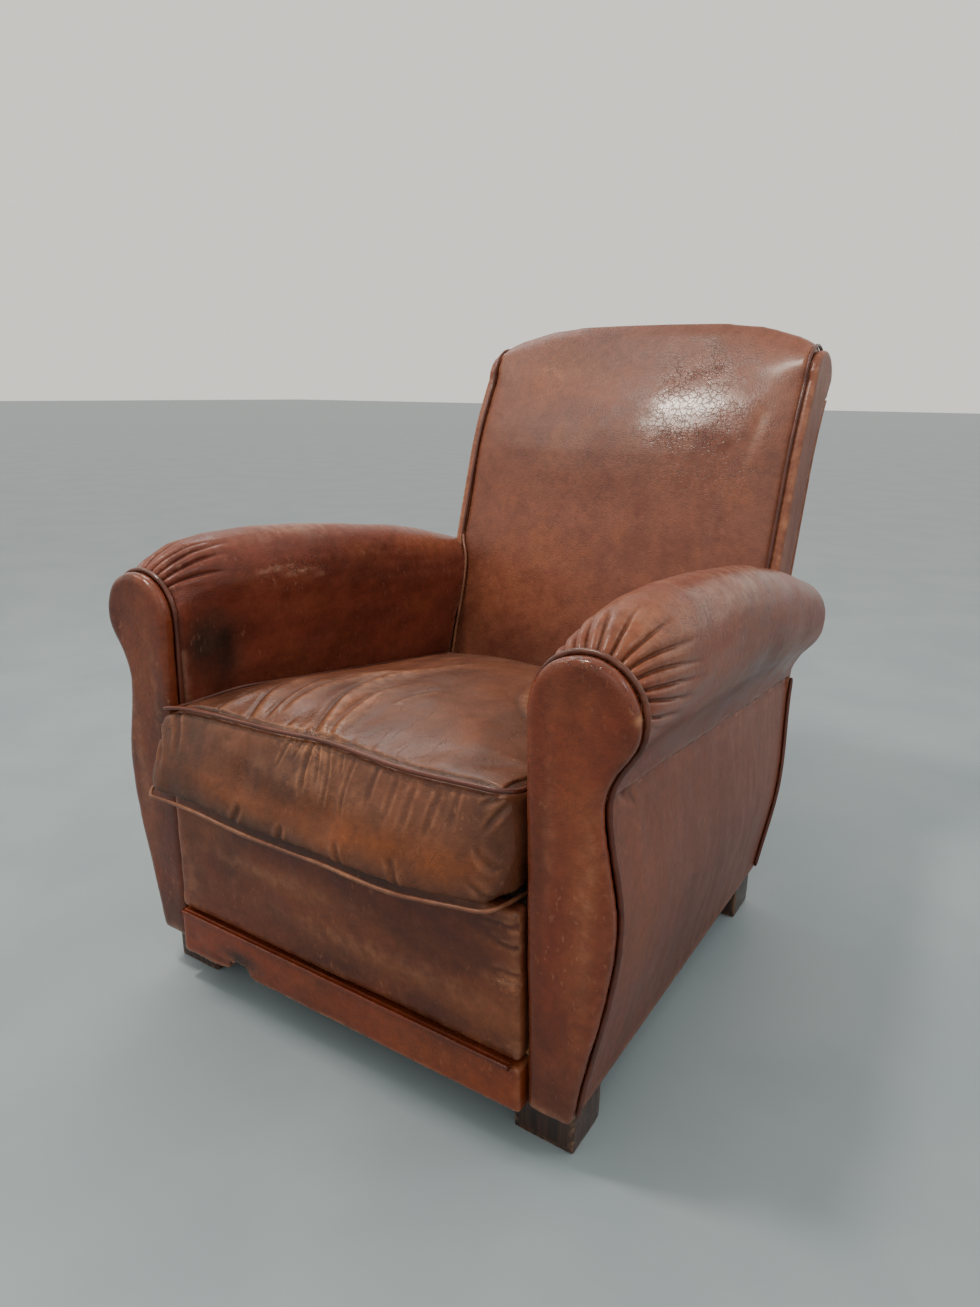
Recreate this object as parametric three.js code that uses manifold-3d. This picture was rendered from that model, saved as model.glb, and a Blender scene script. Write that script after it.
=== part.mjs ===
// Worn leather club chair: a sprung easy chair on a beech frame, with rolled arms and a loose seat cushion.
// Millimetres, Z up. The chair faces -Y, and left and right are as seen by someone facing the chair.
// While the chair is being built, Y is 0 at the front of the arm facings and the floor is at Z 0.

import * as THREE from 'three';
import { mergeVertices } from 'three/addons/utils/BufferGeometryUtils.js';
import Module from 'manifold-3d';

const wasm = await Module();
wasm.setup();

// Gap left between two pieces that touch, and between soft pieces that lie side by side
const TOUCH = 0.3;
const SOFT_CLEARANCE = 3;

// Feet
const FOOT_HEIGHT = 63.7;
const FOOT_WIDTH = 70;
const FOOT_DEPTH = 61;
const FRONT_FOOT_SETBACK = 22;

// Arm facings: the outline in the XZ plane, from the inner edge round the roll to the outer edge
const FACING_THICKNESS = 18;
const FACING_BOTTOM = 53;
const FACING_BEVEL = 4;
const INNER_X_AT_BOTTOM = 256;
const INNER_X_AT_ROLL = 243;
const ROLL_RADIUS = 53.5;
const ROLL_CENTRE_Z = 478;
const ROLL_END_DEGREES = -35;

// Outer side of the arm at the front and at the rear: crease under the roll, belly and bottom edge
const SIDE_FRONT = { creaseX: 319.5, creaseZ: 400, bellyX: 337.8, bellyZ: 280, bottomX: 303 };
const SIDE_REAR = { creaseX: 306, creaseZ: 334, bellyX: 315.5, bellyZ: 185, bottomX: 303 };
const SIDE_THICKNESS = 3;

// Arm roll behind the facing: how far its top stands above the facing's slope, by distance from the facing
const ARM_DROP = 57;
const ARM_SWELL = [[0, 0], [30, 24], [80, 40], [200, 48], [400, 42], [545, 26], [680, 0]];

// Back, as seen from the side: a raked straight part that curves backwards above the knee
const BACK_RAKE = 0.3;
const BACK_REFERENCE_Z = 299;
const BACK_REFERENCE_Y = 584;
const BACK_DEPTH = 83;
const BACK_KNEE_Z = 620;
const BACK_FRONT_CURL = 0.00105;
const BACK_REAR_CURL = 0.0017;
const BACK_CURL_STEP = 30;
const BACK_TOP_Z = 846;
const BACK_SHOULDER_DROP = 88;
const BACK_SIDE_DROP = 45;
const CREST_POWER = 4;
const BACK_HALF_WIDTH = 281;
const BORDER_THICKNESS = 15;
const BACK_CROWN = 30;
const BACK_CROWN_LEVELS = [260, 320, 390, 460, 530];
const BACK_CROWN_SHARES = [-1, -0.9, -0.7, -0.45, -0.15, 0.15, 0.45, 0.7, 0.9, 1];
const BACK_PAD_BOTTOM_Z = 205;
const BACK_PAD_THICKNESS = 39.7;
const BACK_WELT_BOTTOM_Z = 490;
const BACK_SKIN = 6;
const BACK_HEM = 14;
const OUTER_BACK_STEP = 8;

// Beech frame
const RAIL_BOTTOM_Z = FOOT_HEIGHT + TOUCH;
const RAIL_TOP_Z = 150;
const FRONT_RAIL_THICKNESS = 28;
const SIDE_RAIL_INNER_X = 246;
const POST_INNER_X = 266.3;
const POST_DEPTH = 42;
const ARM_RAIL_HEIGHT = 30;
const ARM_RAIL_TOP_Z = 455;
const STILE_WIDTH = 33.7;
const CREST_COVER = 101;
const CREST_HEIGHT = 46;
const LOWER_BACK_RAIL_Z = 215;
const LOWER_BACK_RAIL_HEIGHT = 50;

// Webbing and springs
const WEBBING_WIDTH = 50;
const WEBBING_THICKNESS = 2;
const WEBBING_X = [-150, 0, 150];
const WEBBING_Y = [130, 300, 470];
const BACK_WEBBING_Z = [330, 460, 590];
const SPRING_RADIUS = 36;
const SPRING_WAIST = 22;
const SPRING_WIRE = 2;
const SPRING_TURNS = 4;
const SPRING_STEPS = 44;
const SPRING_SIDES = 5;

// Sprung seat deck, sloping down to the rear
const SEAT_SLOPE_DEGREES = 8.4;
const DECK_TOP_Z = 278;
const DECK_PAD_THICKNESS = 34;
const HESSIAN_THICKNESS = 2;

// Front border, double welt and plinth strip under the cushion
const APRON_PROUD = 7;
const APRON_BOTTOM_Z = 108.5;
const STRIP_PROUD = 8;
const STRIP_BOTTOM_Z = 46;
const STRIP_TOP_Z = 102.5;
const DOUBLE_WELT_RADIUS = 3;

// Loose seat cushion
const CUSHION_PROUD = 27;
const CUSHION_HEIGHT = 108;
const CUSHION_CROWN = 22;
const CUSHION_CORNER = 26;
const CUSHION_WELT_INSET = 1;
const CUSHION_CORNER_STEPS = 4;
const CUSHION_SIDE_SHARES = [-0.5, 0, 0.5];
const CUSHION_CROWN_SCALES = [1, 0.92, 0.78, 0.58, 0.35, 0.12];
const CUSHION_CROWN_POWER = 0.7;
const WELT_RADIUS = 3.5;
const WELT_SIDES = 6;

// Black dust cover under the seat
const DUST_COVER_THICKNESS = 1.5;
const DUST_COVER_MARGIN = 4;

const SIDES = [[-1, 'left'], [1, 'right']];
const CROSSING_STEPS = 20;

const LEATHER = { color: 0x70412a, roughness: 0.42, metalness: 0 };
const SIDE_LEATHER = { color: 0x66402f, roughness: 0.5, metalness: 0 };
const CUSHION_LEATHER = { color: 0x6b4634, roughness: 0.38, metalness: 0 };
const WELT_LEATHER = { color: 0x3a1c14, roughness: 0.45, metalness: 0 };
const STAINED_WOOD = { color: 0x2a1610, roughness: 0.5, metalness: 0 };
const BEECH = { color: 0xb08a5c, roughness: 0.7, metalness: 0 };
const WEBBING = { color: 0x8a7550, roughness: 0.95, metalness: 0 };
const HESSIAN = { color: 0x9c8358, roughness: 0.95, metalness: 0 };
const SPRING_STEEL = { color: 0x6d6862, roughness: 0.45, metalness: 1 };
const STUFFING = { color: 0x4f3d2c, roughness: 1, metalness: 0 };
const BLACK_CLOTH = { color: 0x1c1a1a, roughness: 0.95, metalness: 0 };

// Backward curl above the knee, in straight steps that every piece of the back shares
function curl(rate, z) {
  const over = Math.max(0, z - BACK_KNEE_Z);
  const base = Math.floor(over / BACK_CURL_STEP) * BACK_CURL_STEP;
  const share = (over - base) / BACK_CURL_STEP;
  return THREE.MathUtils.lerp(rate * base ** 2, rate * (base + BACK_CURL_STEP) ** 2, share);
}

// Line of the back's front edge and rear face at a height
function backFront(z) {
  return BACK_REFERENCE_Y + BACK_RAKE * (z - BACK_REFERENCE_Z) + curl(BACK_FRONT_CURL, z);
}

function backRear(z) {
  return BACK_REFERENCE_Y + BACK_DEPTH + BACK_RAKE * (z - BACK_REFERENCE_Z) + curl(BACK_REAR_CURL, z);
}

// Heights at which the back bends, between and including two heights
function backLevels(fromZ, toZ) {
  const levels = [fromZ];
  for (let z = BACK_KNEE_Z; z < toZ; z += BACK_CURL_STEP) if (z > fromZ) levels.push(z);
  return [...levels, toZ];
}

// Inner edge of a facing and of the arm behind it, which leans inwards as it rises
function innerX(z) {
  const share = (z - FACING_BOTTOM) / (ROLL_CENTRE_Z - FACING_BOTTOM);
  return INNER_X_AT_BOTTOM + (INNER_X_AT_ROLL - INNER_X_AT_BOTTOM) * Math.min(1, share);
}

const seatSlope = Math.tan(THREE.MathUtils.degToRad(SEAT_SLOPE_DEGREES));

// Height of a sloping seat layer whose front edge is at the given height
function seatZ(y, frontZ) {
  return frontZ - seatSlope * y;
}

// Height at which a sloping line, given as Z for each Y, crosses a raked one, given as Y for each Z
function crossing(slopingZ, rakedY) {
  let z = 0;
  for (let i = 0; i < CROSSING_STEPS; i += 1) z = slopingZ(rakedY(z));
  return z;
}

const sideFrameX = SIDE_FRONT.bottomX - SIDE_THICKNESS - TOUCH;
const backShoulderZ = BACK_TOP_Z - BACK_SHOULDER_DROP;
const frameTopZ = BACK_TOP_Z - CREST_COVER;
const framePanel = BACK_SKIN + TOUCH;
const backPadHalf = BACK_HALF_WIDTH - BORDER_THICKNESS - TOUCH;
const stileInnerX = backPadHalf - STILE_WIDTH;
const frameStartY = FACING_THICKNESS + TOUCH;
const webbingOffset = BACK_PAD_THICKNESS + TOUCH;
const stileOffset = webbingOffset + WEBBING_THICKNESS + TOUCH;
const rearFootY = backRear(FACING_BOTTOM) - framePanel - TOUCH;
const weltRearY = frameStartY + WELT_RADIUS + TOUCH;
const hemZ = frameTopZ - BACK_HEM;
const dustCoverZ = RAIL_BOTTOM_Z - 3 * TOUCH - 2 * WEBBING_THICKNESS - DUST_COVER_THICKNESS;
const weltProud = Math.SQRT2 * (WELT_RADIUS + TOUCH) - FACING_BEVEL;
const cushionCut = Math.SQRT2 * (WELT_RADIUS + TOUCH) + 2 * CUSHION_WELT_INSET;

// Merges shared corners, so that each piece is one closed surface
function closed(geometry) {
  geometry.deleteAttribute('normal');
  geometry.deleteAttribute('uv');
  const merged = mergeVertices(geometry, 1e-4);
  merged.computeVertexNormals();
  return merged;
}

function addMesh(group, name, geometry, finish) {
  const mesh = new THREE.Mesh(geometry, new THREE.MeshStandardMaterial(finish));
  mesh.name = name;
  group.add(mesh);
  return mesh;
}

// Reflects a right-hand piece to the left, with its faces turned back outwards
function sided(geometry, side) {
  if (side > 0) return geometry;
  const mirrored = geometry.clone().scale(-1, 1, 1);
  const index = mirrored.index;
  for (let i = 0; i < index.count; i += 3) {
    const second = index.getX(i + 1);
    index.setX(i + 1, index.getX(i + 2));
    index.setX(i + 2, second);
  }
  mirrored.computeVertexNormals();
  return mirrored;
}

function shapeOf(points) {
  return new THREE.Shape(points.map(([a, b]) => new THREE.Vector2(a, b)));
}

// Extrudes an outline given as (Y, Z) points along X
function alongX(points, fromX, toX) {
  const geometry = new THREE.ExtrudeGeometry(shapeOf(points), { depth: toX - fromX, bevelEnabled: false });
  const axes = new THREE.Matrix4().makeBasis(
    new THREE.Vector3(0, 1, 0), new THREE.Vector3(0, 0, 1), new THREE.Vector3(1, 0, 0));
  return closed(geometry.applyMatrix4(axes).translate(fromX, 0, 0));
}

// Extrudes an outline given as a shape in (X, Z) along Y, with an optional bevel inside the outline
function alongY(shape, fromY, toY, bevel = 0) {
  const options = {
    depth: toY - fromY - 2 * bevel, curveSegments: 10, bevelEnabled: bevel > 0,
    bevelThickness: bevel, bevelSize: bevel, bevelOffset: -bevel, bevelSegments: 1,
  };
  const geometry = new THREE.ExtrudeGeometry(shape, options);
  const axes = new THREE.Matrix4().makeBasis(
    new THREE.Vector3(1, 0, 0), new THREE.Vector3(0, 0, 1), new THREE.Vector3(0, -1, 0));
  return closed(geometry.applyMatrix4(axes).translate(0, toY - bevel, 0));
}

function block(x, y, z) {
  const geometry = new THREE.BoxGeometry(x[1] - x[0], y[1] - y[0], z[1] - z[0]);
  return closed(geometry.translate((x[0] + x[1]) / 2, (y[0] + y[1]) / 2, (z[0] + z[1]) / 2));
}

// Round cord or wire through a row of points, with flat ends; the up axis is never along the cord
function cord(points, radius, up, sides = WELT_SIDES) {
  const sections = points.map((point, i) => {
    const before = points[Math.max(0, i - 1)];
    const after = points[Math.min(points.length - 1, i + 1)];
    const along = after.clone().sub(before).normalize();
    const across = along.clone().cross(up).normalize();
    const over = across.clone().cross(along);
    return Array.from({ length: sides }, (_, k) => {
      const angle = (2 * Math.PI * k) / sides;
      return point.clone()
        .addScaledVector(across, radius * Math.cos(angle))
        .addScaledVector(over, radius * Math.sin(angle));
    });
  });
  return loft(sections, fanCaps);
}

// End fill for a ring round a middle point, which is added to the ring
function fanCaps(section) {
  const total = section.reduce((sum, point) => sum.add(point), new THREE.Vector3());
  const middle = total.divideScalar(section.length);
  const triangles = section.map((_, i) => [i, (i + 1) % section.length, section.length]);
  return { triangles, middle };
}

// End fill for a thin section, drawn between each point and its partner across the thickness
function bandCaps(section) {
  const triangles = [];
  for (let i = 0; i + 1 < section.length / 2; i += 1) {
    const across = section.length - 1 - i;
    triangles.push([i, i + 1, across - 1], [i, across - 1, across]);
  }
  return { triangles };
}

// End fill for any outline, seen in the plane of two axes
function outlineCaps(plane) {
  return (section) => {
    const flat = section.map((point) => new THREE.Vector2(point[plane[0]], point[plane[1]]));
    const turn = THREE.ShapeUtils.area(flat);
    const triangles = THREE.ShapeUtils.triangulateShape(flat, []).map(([a, b, c]) => (
      THREE.ShapeUtils.area([flat[a], flat[b], flat[c]]) * turn > 0 ? [a, b, c] : [a, c, b]));
    return { triangles };
  };
}

// Skins a row of matching sections, each a ring of points, and fills both ends
function loft(sections, caps) {
  const count = sections[0].length;
  const points = sections.flat();
  const faces = [];
  for (let s = 0; s + 1 < sections.length; s += 1) {
    for (let i = 0; i < count; i += 1) {
      const [a, b] = [s * count + i, s * count + ((i + 1) % count)];
      faces.push(a, b, b + count, a, b + count, a + count);
    }
  }
  [0, sections.length - 1].forEach((place) => {
    const { triangles, middle } = caps(sections[place]);
    const cornerAt = (i) => (i < count ? place * count + i : points.length - 1);
    if (middle) points.push(middle);
    for (const [a, b, c] of triangles) {
      faces.push(...(place > 0 ? [a, b, c] : [a, c, b]).map(cornerAt));
    }
  });
  const geometry = new THREE.BufferGeometry();
  const positions = points.flatMap((point) => [point.x, point.y, point.z]);
  geometry.setAttribute('position', new THREE.Float32BufferAttribute(positions, 3));
  geometry.setIndex(faces);
  const solid = closed(geometry);
  return volumeOf(solid) < 0 ? turnedOut(solid) : solid;
}

function volumeOf(geometry) {
  const { index, attributes: { position } } = geometry;
  const corner = [0, 1, 2].map(() => new THREE.Vector3());
  let volume = 0;
  for (let i = 0; i < index.count; i += 3) {
    corner.forEach((point, k) => point.fromBufferAttribute(position, index.getX(i + k)));
    volume += corner[0].dot(corner[1].clone().cross(corner[2])) / 6;
  }
  return volume;
}

function turnedOut(geometry) {
  const flipped = sided(geometry, -1);
  return flipped.scale(-1, 1, 1);
}

function toSolid(geometry) {
  const vertProperties = new Float32Array(geometry.attributes.position.array);
  const triVerts = new Uint32Array(geometry.index.array);
  return new wasm.Manifold(new wasm.Mesh({ numProp: 3, vertProperties, triVerts }));
}

function fromSolid(solid) {
  const mesh = solid.getMesh();
  const geometry = new THREE.BufferGeometry();
  geometry.setAttribute('position', new THREE.Float32BufferAttribute(mesh.vertProperties, 3));
  geometry.setIndex(Array.from(mesh.triVerts));
  return closed(geometry);
}

// Outer side of the arm at a share of the way from front to rear
function sideAt(share) {
  const mix = (key) => THREE.MathUtils.lerp(SIDE_FRONT[key], SIDE_REAR[key], share);
  return {
    crease: new THREE.Vector2(mix('creaseX'), mix('creaseZ')),
    belly: new THREE.Vector2(mix('bellyX'), mix('bellyZ')),
    bottom: new THREE.Vector2(mix('bottomX'), FACING_BOTTOM),
  };
}

// Two curves that run from the crease over the belly to the bottom edge
function sideCurves({ crease, belly, bottom }) {
  const upper = (crease.y - belly.y) / 3;
  const lower = (belly.y - bottom.y) / 3;
  const lean = (belly.x - bottom.x) / 4;
  const underCrease = new THREE.Vector2(crease.x, crease.y - upper);
  const overBelly = new THREE.Vector2(belly.x, belly.y + upper);
  const underBelly = new THREE.Vector2(belly.x, belly.y - lower);
  const overBottom = new THREE.Vector2(bottom.x + lean, bottom.y + lower);
  return [
    new THREE.CubicBezierCurve(crease, underCrease, overBelly, belly),
    new THREE.CubicBezierCurve(belly, underBelly, overBottom, bottom),
  ];
}

function sidePoints(share, steps) {
  const [upper, lower] = sideCurves(sideAt(share));
  return [...upper.getPoints(steps), ...lower.getPoints(steps).slice(1)];
}

// Place along the arm, from the facing to the raked rear end, at a height
function armY(share, z) {
  return THREE.MathUtils.lerp(frameStartY, backRear(z) - framePanel, share);
}

// How far the roll's top swells above the slope of the facing, at a distance behind the welt
const swellCurve = new THREE.SplineCurve(ARM_SWELL.map(([y, height]) => new THREE.Vector2(y, height)));
const swellSamples = swellCurve.getPoints(120);

function armSwell(distance) {
  const next = swellSamples.findIndex((point) => point.x >= distance);
  if (distance <= 0 || next < 1) return 0;
  const [before, after] = [swellSamples[next - 1], swellSamples[next]];
  const share = (distance - before.x) / (after.x - before.x);
  return Math.max(0, THREE.MathUtils.lerp(before.y, after.y, share));
}

// Roll's outline at a share of the way to the rear, from the crease up and over to the inner face
function rollPoints(share, steps) {
  const swell = armSwell(armY(share, ROLL_CENTRE_Z) - weltRearY);
  const { crease } = sideAt(share);
  const narrowing = (SIDE_FRONT.creaseX - crease.x) / 4;
  const radiusX = ROLL_RADIUS - narrowing;
  const radiusZ = ROLL_RADIUS + swell / 2;
  const centreX = INNER_X_AT_ROLL + radiusX;
  const centreZ = ROLL_CENTRE_Z - ARM_DROP * share + swell / 2;
  const start = THREE.MathUtils.degToRad(ROLL_END_DEGREES);
  const points = [];
  for (let i = 0; i <= steps; i += 1) {
    const angle = THREE.MathUtils.lerp(start, Math.PI, i / steps);
    points.push(new THREE.Vector2(
      centreX + radiusX * Math.cos(angle), centreZ + radiusZ * Math.sin(angle)));
  }
  const middle = new THREE.Vector2(crease.x + 2, (crease.y + points[0].y) / 2);
  const underside = new THREE.QuadraticBezierCurve(crease, middle, points[0]);
  return [...underside.getPoints(3).slice(0, -1), ...points];
}

// Facing outline, round from the inner bottom corner to the outer bottom corner
function facingOutline() {
  const roll = rollPoints(0, 16).reverse();
  const outer = sidePoints(0, 6);
  const inner = [new THREE.Vector2(INNER_X_AT_BOTTOM, FACING_BOTTOM)];
  return [...inner, ...roll, ...outer.slice(1)];
}

const [ACROSS, ALONG, UP] = [[1, 0, 0], [0, 1, 0], [0, 0, 1]].map((axis) => new THREE.Vector3(...axis));

const chair = new THREE.Group();
const frame = new THREE.Group();
const springing = new THREE.Group();
const upholstery = new THREE.Group();
chair.add(frame, springing, upholstery);

// Feet: four stained blocks under the corners of the frame
function addFeet() {
  for (const [side, word] of SIDES) {
    const places = [['front', FRONT_FOOT_SETBACK], ['rear', rearFootY - FOOT_DEPTH]];
    for (const [row, y] of places) {
      const foot = block([sideFrameX - FOOT_WIDTH, sideFrameX], [y, y + FOOT_DEPTH], [0, FOOT_HEIGHT]);
      addMesh(frame, `${row}_foot_${word}`, sided(foot, side), STAINED_WOOD);
    }
  }
}

// Seat frame: front, rear and side rails between the posts and the stiles
function addSeatRails() {
  const railEndX = POST_INNER_X - 2 * TOUCH;
  const frontRail = block(
    [-railEndX, railEndX], [frameStartY, frameStartY + FRONT_RAIL_THICKNESS], [RAIL_BOTTOM_Z, RAIL_TOP_Z]);
  addMesh(frame, 'front_rail', frontRail, BEECH);

  const rearOutline = backBand(RAIL_BOTTOM_Z, RAIL_TOP_Z, stileOffset, framePanel);
  const rearHalf = stileInnerX - TOUCH;
  addMesh(frame, 'rear_rail', alongX(rearOutline, -rearHalf, rearHalf), BEECH);

  const sideOutline = [
    [frameStartY + POST_DEPTH + TOUCH, RAIL_BOTTOM_Z],
    [backFront(RAIL_BOTTOM_Z) + stileOffset - TOUCH, RAIL_BOTTOM_Z],
    [backFront(RAIL_TOP_Z) + stileOffset - TOUCH, RAIL_TOP_Z],
    [frameStartY + POST_DEPTH + TOUCH, RAIL_TOP_Z],
  ];
  const sideRail = alongX(sideOutline, SIDE_RAIL_INNER_X, sideFrameX);
  for (const [side, word] of SIDES) addMesh(frame, `side_rail_${word}`, sided(sideRail, side), BEECH);
}

// Top of the sloping arm rail at a distance, and the height where it crosses a raked line
function railTop(y) {
  return ARM_RAIL_TOP_Z - (ARM_DROP / (backRear(ARM_RAIL_TOP_Z) - frameStartY)) * y;
}

function railTopWhere(lineY) {
  return crossing(railTop, lineY);
}

// Arm frame: a post behind each facing and a sloping rail back to the stile
function addArmFrames() {
  const postRear = frameStartY + POST_DEPTH;
  const postOutline = [
    [frameStartY, RAIL_BOTTOM_Z],
    [postRear, RAIL_BOTTOM_Z],
    [postRear, railTop(postRear) - ARM_RAIL_HEIGHT - TOUCH],
    [frameStartY, railTop(frameStartY) - ARM_RAIL_HEIGHT - TOUCH],
  ];
  const post = alongX(postOutline, POST_INNER_X, sideFrameX);
  const rearEnd = (z) => backRear(z) - framePanel - TOUCH;
  const topZ = railTopWhere(rearEnd);
  const bottomZ = railTopWhere((z) => rearEnd(z - ARM_RAIL_HEIGHT)) - ARM_RAIL_HEIGHT;
  const railOutline = [
    [frameStartY, railTop(frameStartY) - ARM_RAIL_HEIGHT],
    [rearEnd(bottomZ), bottomZ],
    [rearEnd(topZ), topZ],
    [frameStartY, railTop(frameStartY)],
  ];
  const rail = alongX(railOutline, POST_INNER_X, sideFrameX);
  for (const [side, word] of SIDES) {
    addMesh(frame, `front_post_${word}`, sided(post, side), BEECH);
    addMesh(frame, `arm_rail_${word}`, sided(rail, side), BEECH);
  }
}

// Outline between the front and the rear of the back's frame, between two heights
function backBand(fromZ, toZ, front, rear) {
  const levels = backLevels(fromZ, toZ);
  return [
    ...levels.map((z) => [backFront(z) + front, z]),
    ...levels.map((z) => [backRear(z) - rear, z]).reverse(),
  ];
}

// Back frame: two raked stiles, the crest rail and the lower rail
function addBackFrame() {
  const stileOutline = backBand(RAIL_BOTTOM_Z, frameTopZ, stileOffset, framePanel);
  const stile = alongX(stileOutline, stileInnerX, backPadHalf);
  for (const [side, word] of SIDES) addMesh(frame, `rear_stile_${word}`, sided(stile, side), BEECH);
  const half = stileInnerX - TOUCH;
  const crest = backBand(frameTopZ - CREST_HEIGHT, frameTopZ, stileOffset, framePanel);
  addMesh(frame, 'crest_rail', alongX(crest, -half, half), BEECH);
  const lowTop = LOWER_BACK_RAIL_Z + LOWER_BACK_RAIL_HEIGHT;
  const lower = backBand(LOWER_BACK_RAIL_Z, lowTop, stileOffset, framePanel);
  addMesh(frame, 'lower_back_rail', alongX(lower, -half, half), BEECH);
}

// Webbing: straps under the seat rails, and straps across the front of the stiles
function addWebbing() {
  const topZ = RAIL_BOTTOM_Z - TOUCH;
  const half = WEBBING_WIDTH / 2;
  const rearY = backRear(RAIL_BOTTOM_Z) - framePanel - SOFT_CLEARANCE;
  WEBBING_X.forEach((x, i) => {
    const strap = block([x - half, x + half], [frameStartY + TOUCH, rearY], [topZ - WEBBING_THICKNESS, topZ]);
    addMesh(springing, `seat_webbing_long_${i + 1}`, strap, WEBBING);
  });
  const crossTop = topZ - WEBBING_THICKNESS - TOUCH;
  const crossBottom = crossTop - WEBBING_THICKNESS;
  const crossHalf = sideFrameX - SOFT_CLEARANCE;
  WEBBING_Y.forEach((y, i) => {
    const strap = block([-crossHalf, crossHalf], [y - half, y + half], [crossBottom, crossTop]);
    addMesh(springing, `seat_webbing_cross_${i + 1}`, strap, WEBBING);
  });
  const backHalf = backPadHalf - TOUCH;
  BACK_WEBBING_Z.forEach((z, i) => {
    const levels = backLevels(z - half, z + half);
    const outline = [
      ...levels.map((level) => [backFront(level) + webbingOffset, level]),
      ...levels.map((level) => [backFront(level) + webbingOffset + WEBBING_THICKNESS, level]).reverse(),
    ];
    addMesh(springing, `back_webbing_${i + 1}`, alongX(outline, -backHalf, backHalf), WEBBING);
  });
}

const hessianFrontZ = DECK_TOP_Z - DECK_PAD_THICKNESS - TOUCH;

// Waisted coil spring, with its top turn cut to the slope of the hessian above it
function springPoints(centreX, centreY) {
  const points = [];
  for (let i = 0; i <= SPRING_STEPS; i += 1) {
    const share = i / SPRING_STEPS;
    const angle = 2 * Math.PI * SPRING_TURNS * share;
    const radius = SPRING_RADIUS - (SPRING_RADIUS - SPRING_WAIST) * Math.sin(Math.PI * share);
    const x = centreX + radius * Math.cos(angle);
    const y = centreY + radius * Math.sin(angle);
    const low = RAIL_BOTTOM_Z + SPRING_WIRE;
    const high = seatZ(y, hessianFrontZ - HESSIAN_THICKNESS) - TOUCH - SPRING_WIRE;
    points.push(new THREE.Vector3(x, y, THREE.MathUtils.lerp(low, high, share)));
  }
  return points;
}

// Springs: one on each crossing of the seat webbing
function addSprings() {
  WEBBING_Y.forEach((y, row) => {
    WEBBING_X.forEach((x, column) => {
      const spring = cord(springPoints(x, y), SPRING_WIRE, UP, SPRING_SIDES);
      addMesh(springing, `seat_spring_${row + 1}_${column + 1}`, spring, SPRING_STEEL);
    });
  });
}

// Sloping layer of the seat, from the apron back to the frame or the back pad
function seatLayer(frontZ, thickness, frontY, rearOffset, halfX) {
  const rearAt = (z) => backFront(z) + rearOffset;
  const levels = [frontZ - thickness, frontZ];
  const [bottom, top] = levels.map((level) => crossing((y) => seatZ(y, level), rearAt));
  const outline = [
    [frontY, seatZ(frontY, frontZ - thickness)],
    [rearAt(bottom), bottom],
    [rearAt(top), top],
    [frontY, seatZ(frontY, frontZ)],
  ];
  return alongX(outline, -halfX, halfX);
}

function addSeatDeck() {
  const frontY = frameStartY;
  const halfX = innerX(DECK_TOP_Z) - SOFT_CLEARANCE - FACING_BEVEL;
  const hessian = seatLayer(hessianFrontZ, HESSIAN_THICKNESS, frontY, stileOffset - SOFT_CLEARANCE, halfX);
  addMesh(springing, 'seat_hessian', hessian, HESSIAN);
  const stuffing = seatLayer(DECK_TOP_Z, DECK_PAD_THICKNESS, frontY, stileOffset - SOFT_CLEARANCE, halfX);
  addMesh(upholstery, 'seat_deck_pad', stuffing, STUFFING);
}

// Padded facing board and the welt that runs round its rear edge
function addFacings() {
  const outline = facingOutline();
  const facing = alongY(new THREE.Shape(outline), 0, FACING_THICKNESS, FACING_BEVEL);
  const weltY = FACING_THICKNESS + TOUCH / 2;
  const startZ = DECK_TOP_Z + 2 * WELT_RADIUS;
  const along = outline.slice(1).map((point) => point.clone());
  along.unshift(new THREE.Vector2(innerX(startZ), startZ));
  const centreLine = along.map((point, i) => {
    const before = along[Math.max(0, i - 1)];
    const after = along[Math.min(along.length - 1, i + 1)];
    const direction = after.clone().sub(before).normalize();
    return new THREE.Vector3(point.x - direction.y * weltProud, weltY, point.y + direction.x * weltProud);
  });
  const welt = cord(centreLine, WELT_RADIUS, ALONG);
  for (const [side, word] of SIDES) {
    addMesh(upholstery, `arm_facing_${word}`, sided(facing, side), LEATHER);
    addMesh(upholstery, `facing_welt_${word}`, sided(welt, side), WELT_LEATHER);
  }
}

// Stations along the arm, closer together where the leather is gathered behind the facing
const weltShare = (weltRearY - frameStartY) / (armY(1, ROLL_CENTRE_Z) - frameStartY);
const armStations = [weltShare, 0.03, 0.07, 0.13, 0.22, 0.34, 0.48, 0.62, 0.76, 0.88, 1];

// Arm pad: the roll over the arm rail and the padded inner wall down to the side rail
function armPadSection(share) {
  const wallBottom = RAIL_TOP_Z + TOUCH;
  const wallX = POST_INNER_X - TOUCH;
  const hollowTop = railTopWhere((z) => armY(share, z)) + TOUCH;
  const outer = rollPoints(share, 16);
  const ring = [
    new THREE.Vector2(innerX(wallBottom), wallBottom),
    new THREE.Vector2(wallX, wallBottom),
    new THREE.Vector2(wallX, hollowTop),
    new THREE.Vector2(sideFrameX + TOUCH, hollowTop),
    new THREE.Vector2(sideFrameX + TOUCH, outer[0].y),
    ...outer,
  ];
  return ring.map((point) => new THREE.Vector3(point.x, armY(share, point.y), point.y));
}

// Space that the back fills between and over the arms
function backEnvelope() {
  const half = BACK_HALF_WIDTH + TOUCH;
  const bulge = BACK_CROWN * (1 - (INNER_X_AT_ROLL / backPadHalf) ** 2);
  const outline = backBand(RAIL_TOP_Z, backShoulderZ, -bulge - TOUCH, -BACK_DEPTH);
  return toSolid(alongX(outline, -half, half));
}

function addArmPads() {
  const roll = loft(armStations.map(armPadSection), outlineCaps(['x', 'z']));
  const pad = fromSolid(toSolid(roll).subtract(backEnvelope()));
  for (const [side, word] of SIDES) addMesh(upholstery, `arm_pad_${word}`, sided(pad, side), LEATHER);
}

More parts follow.
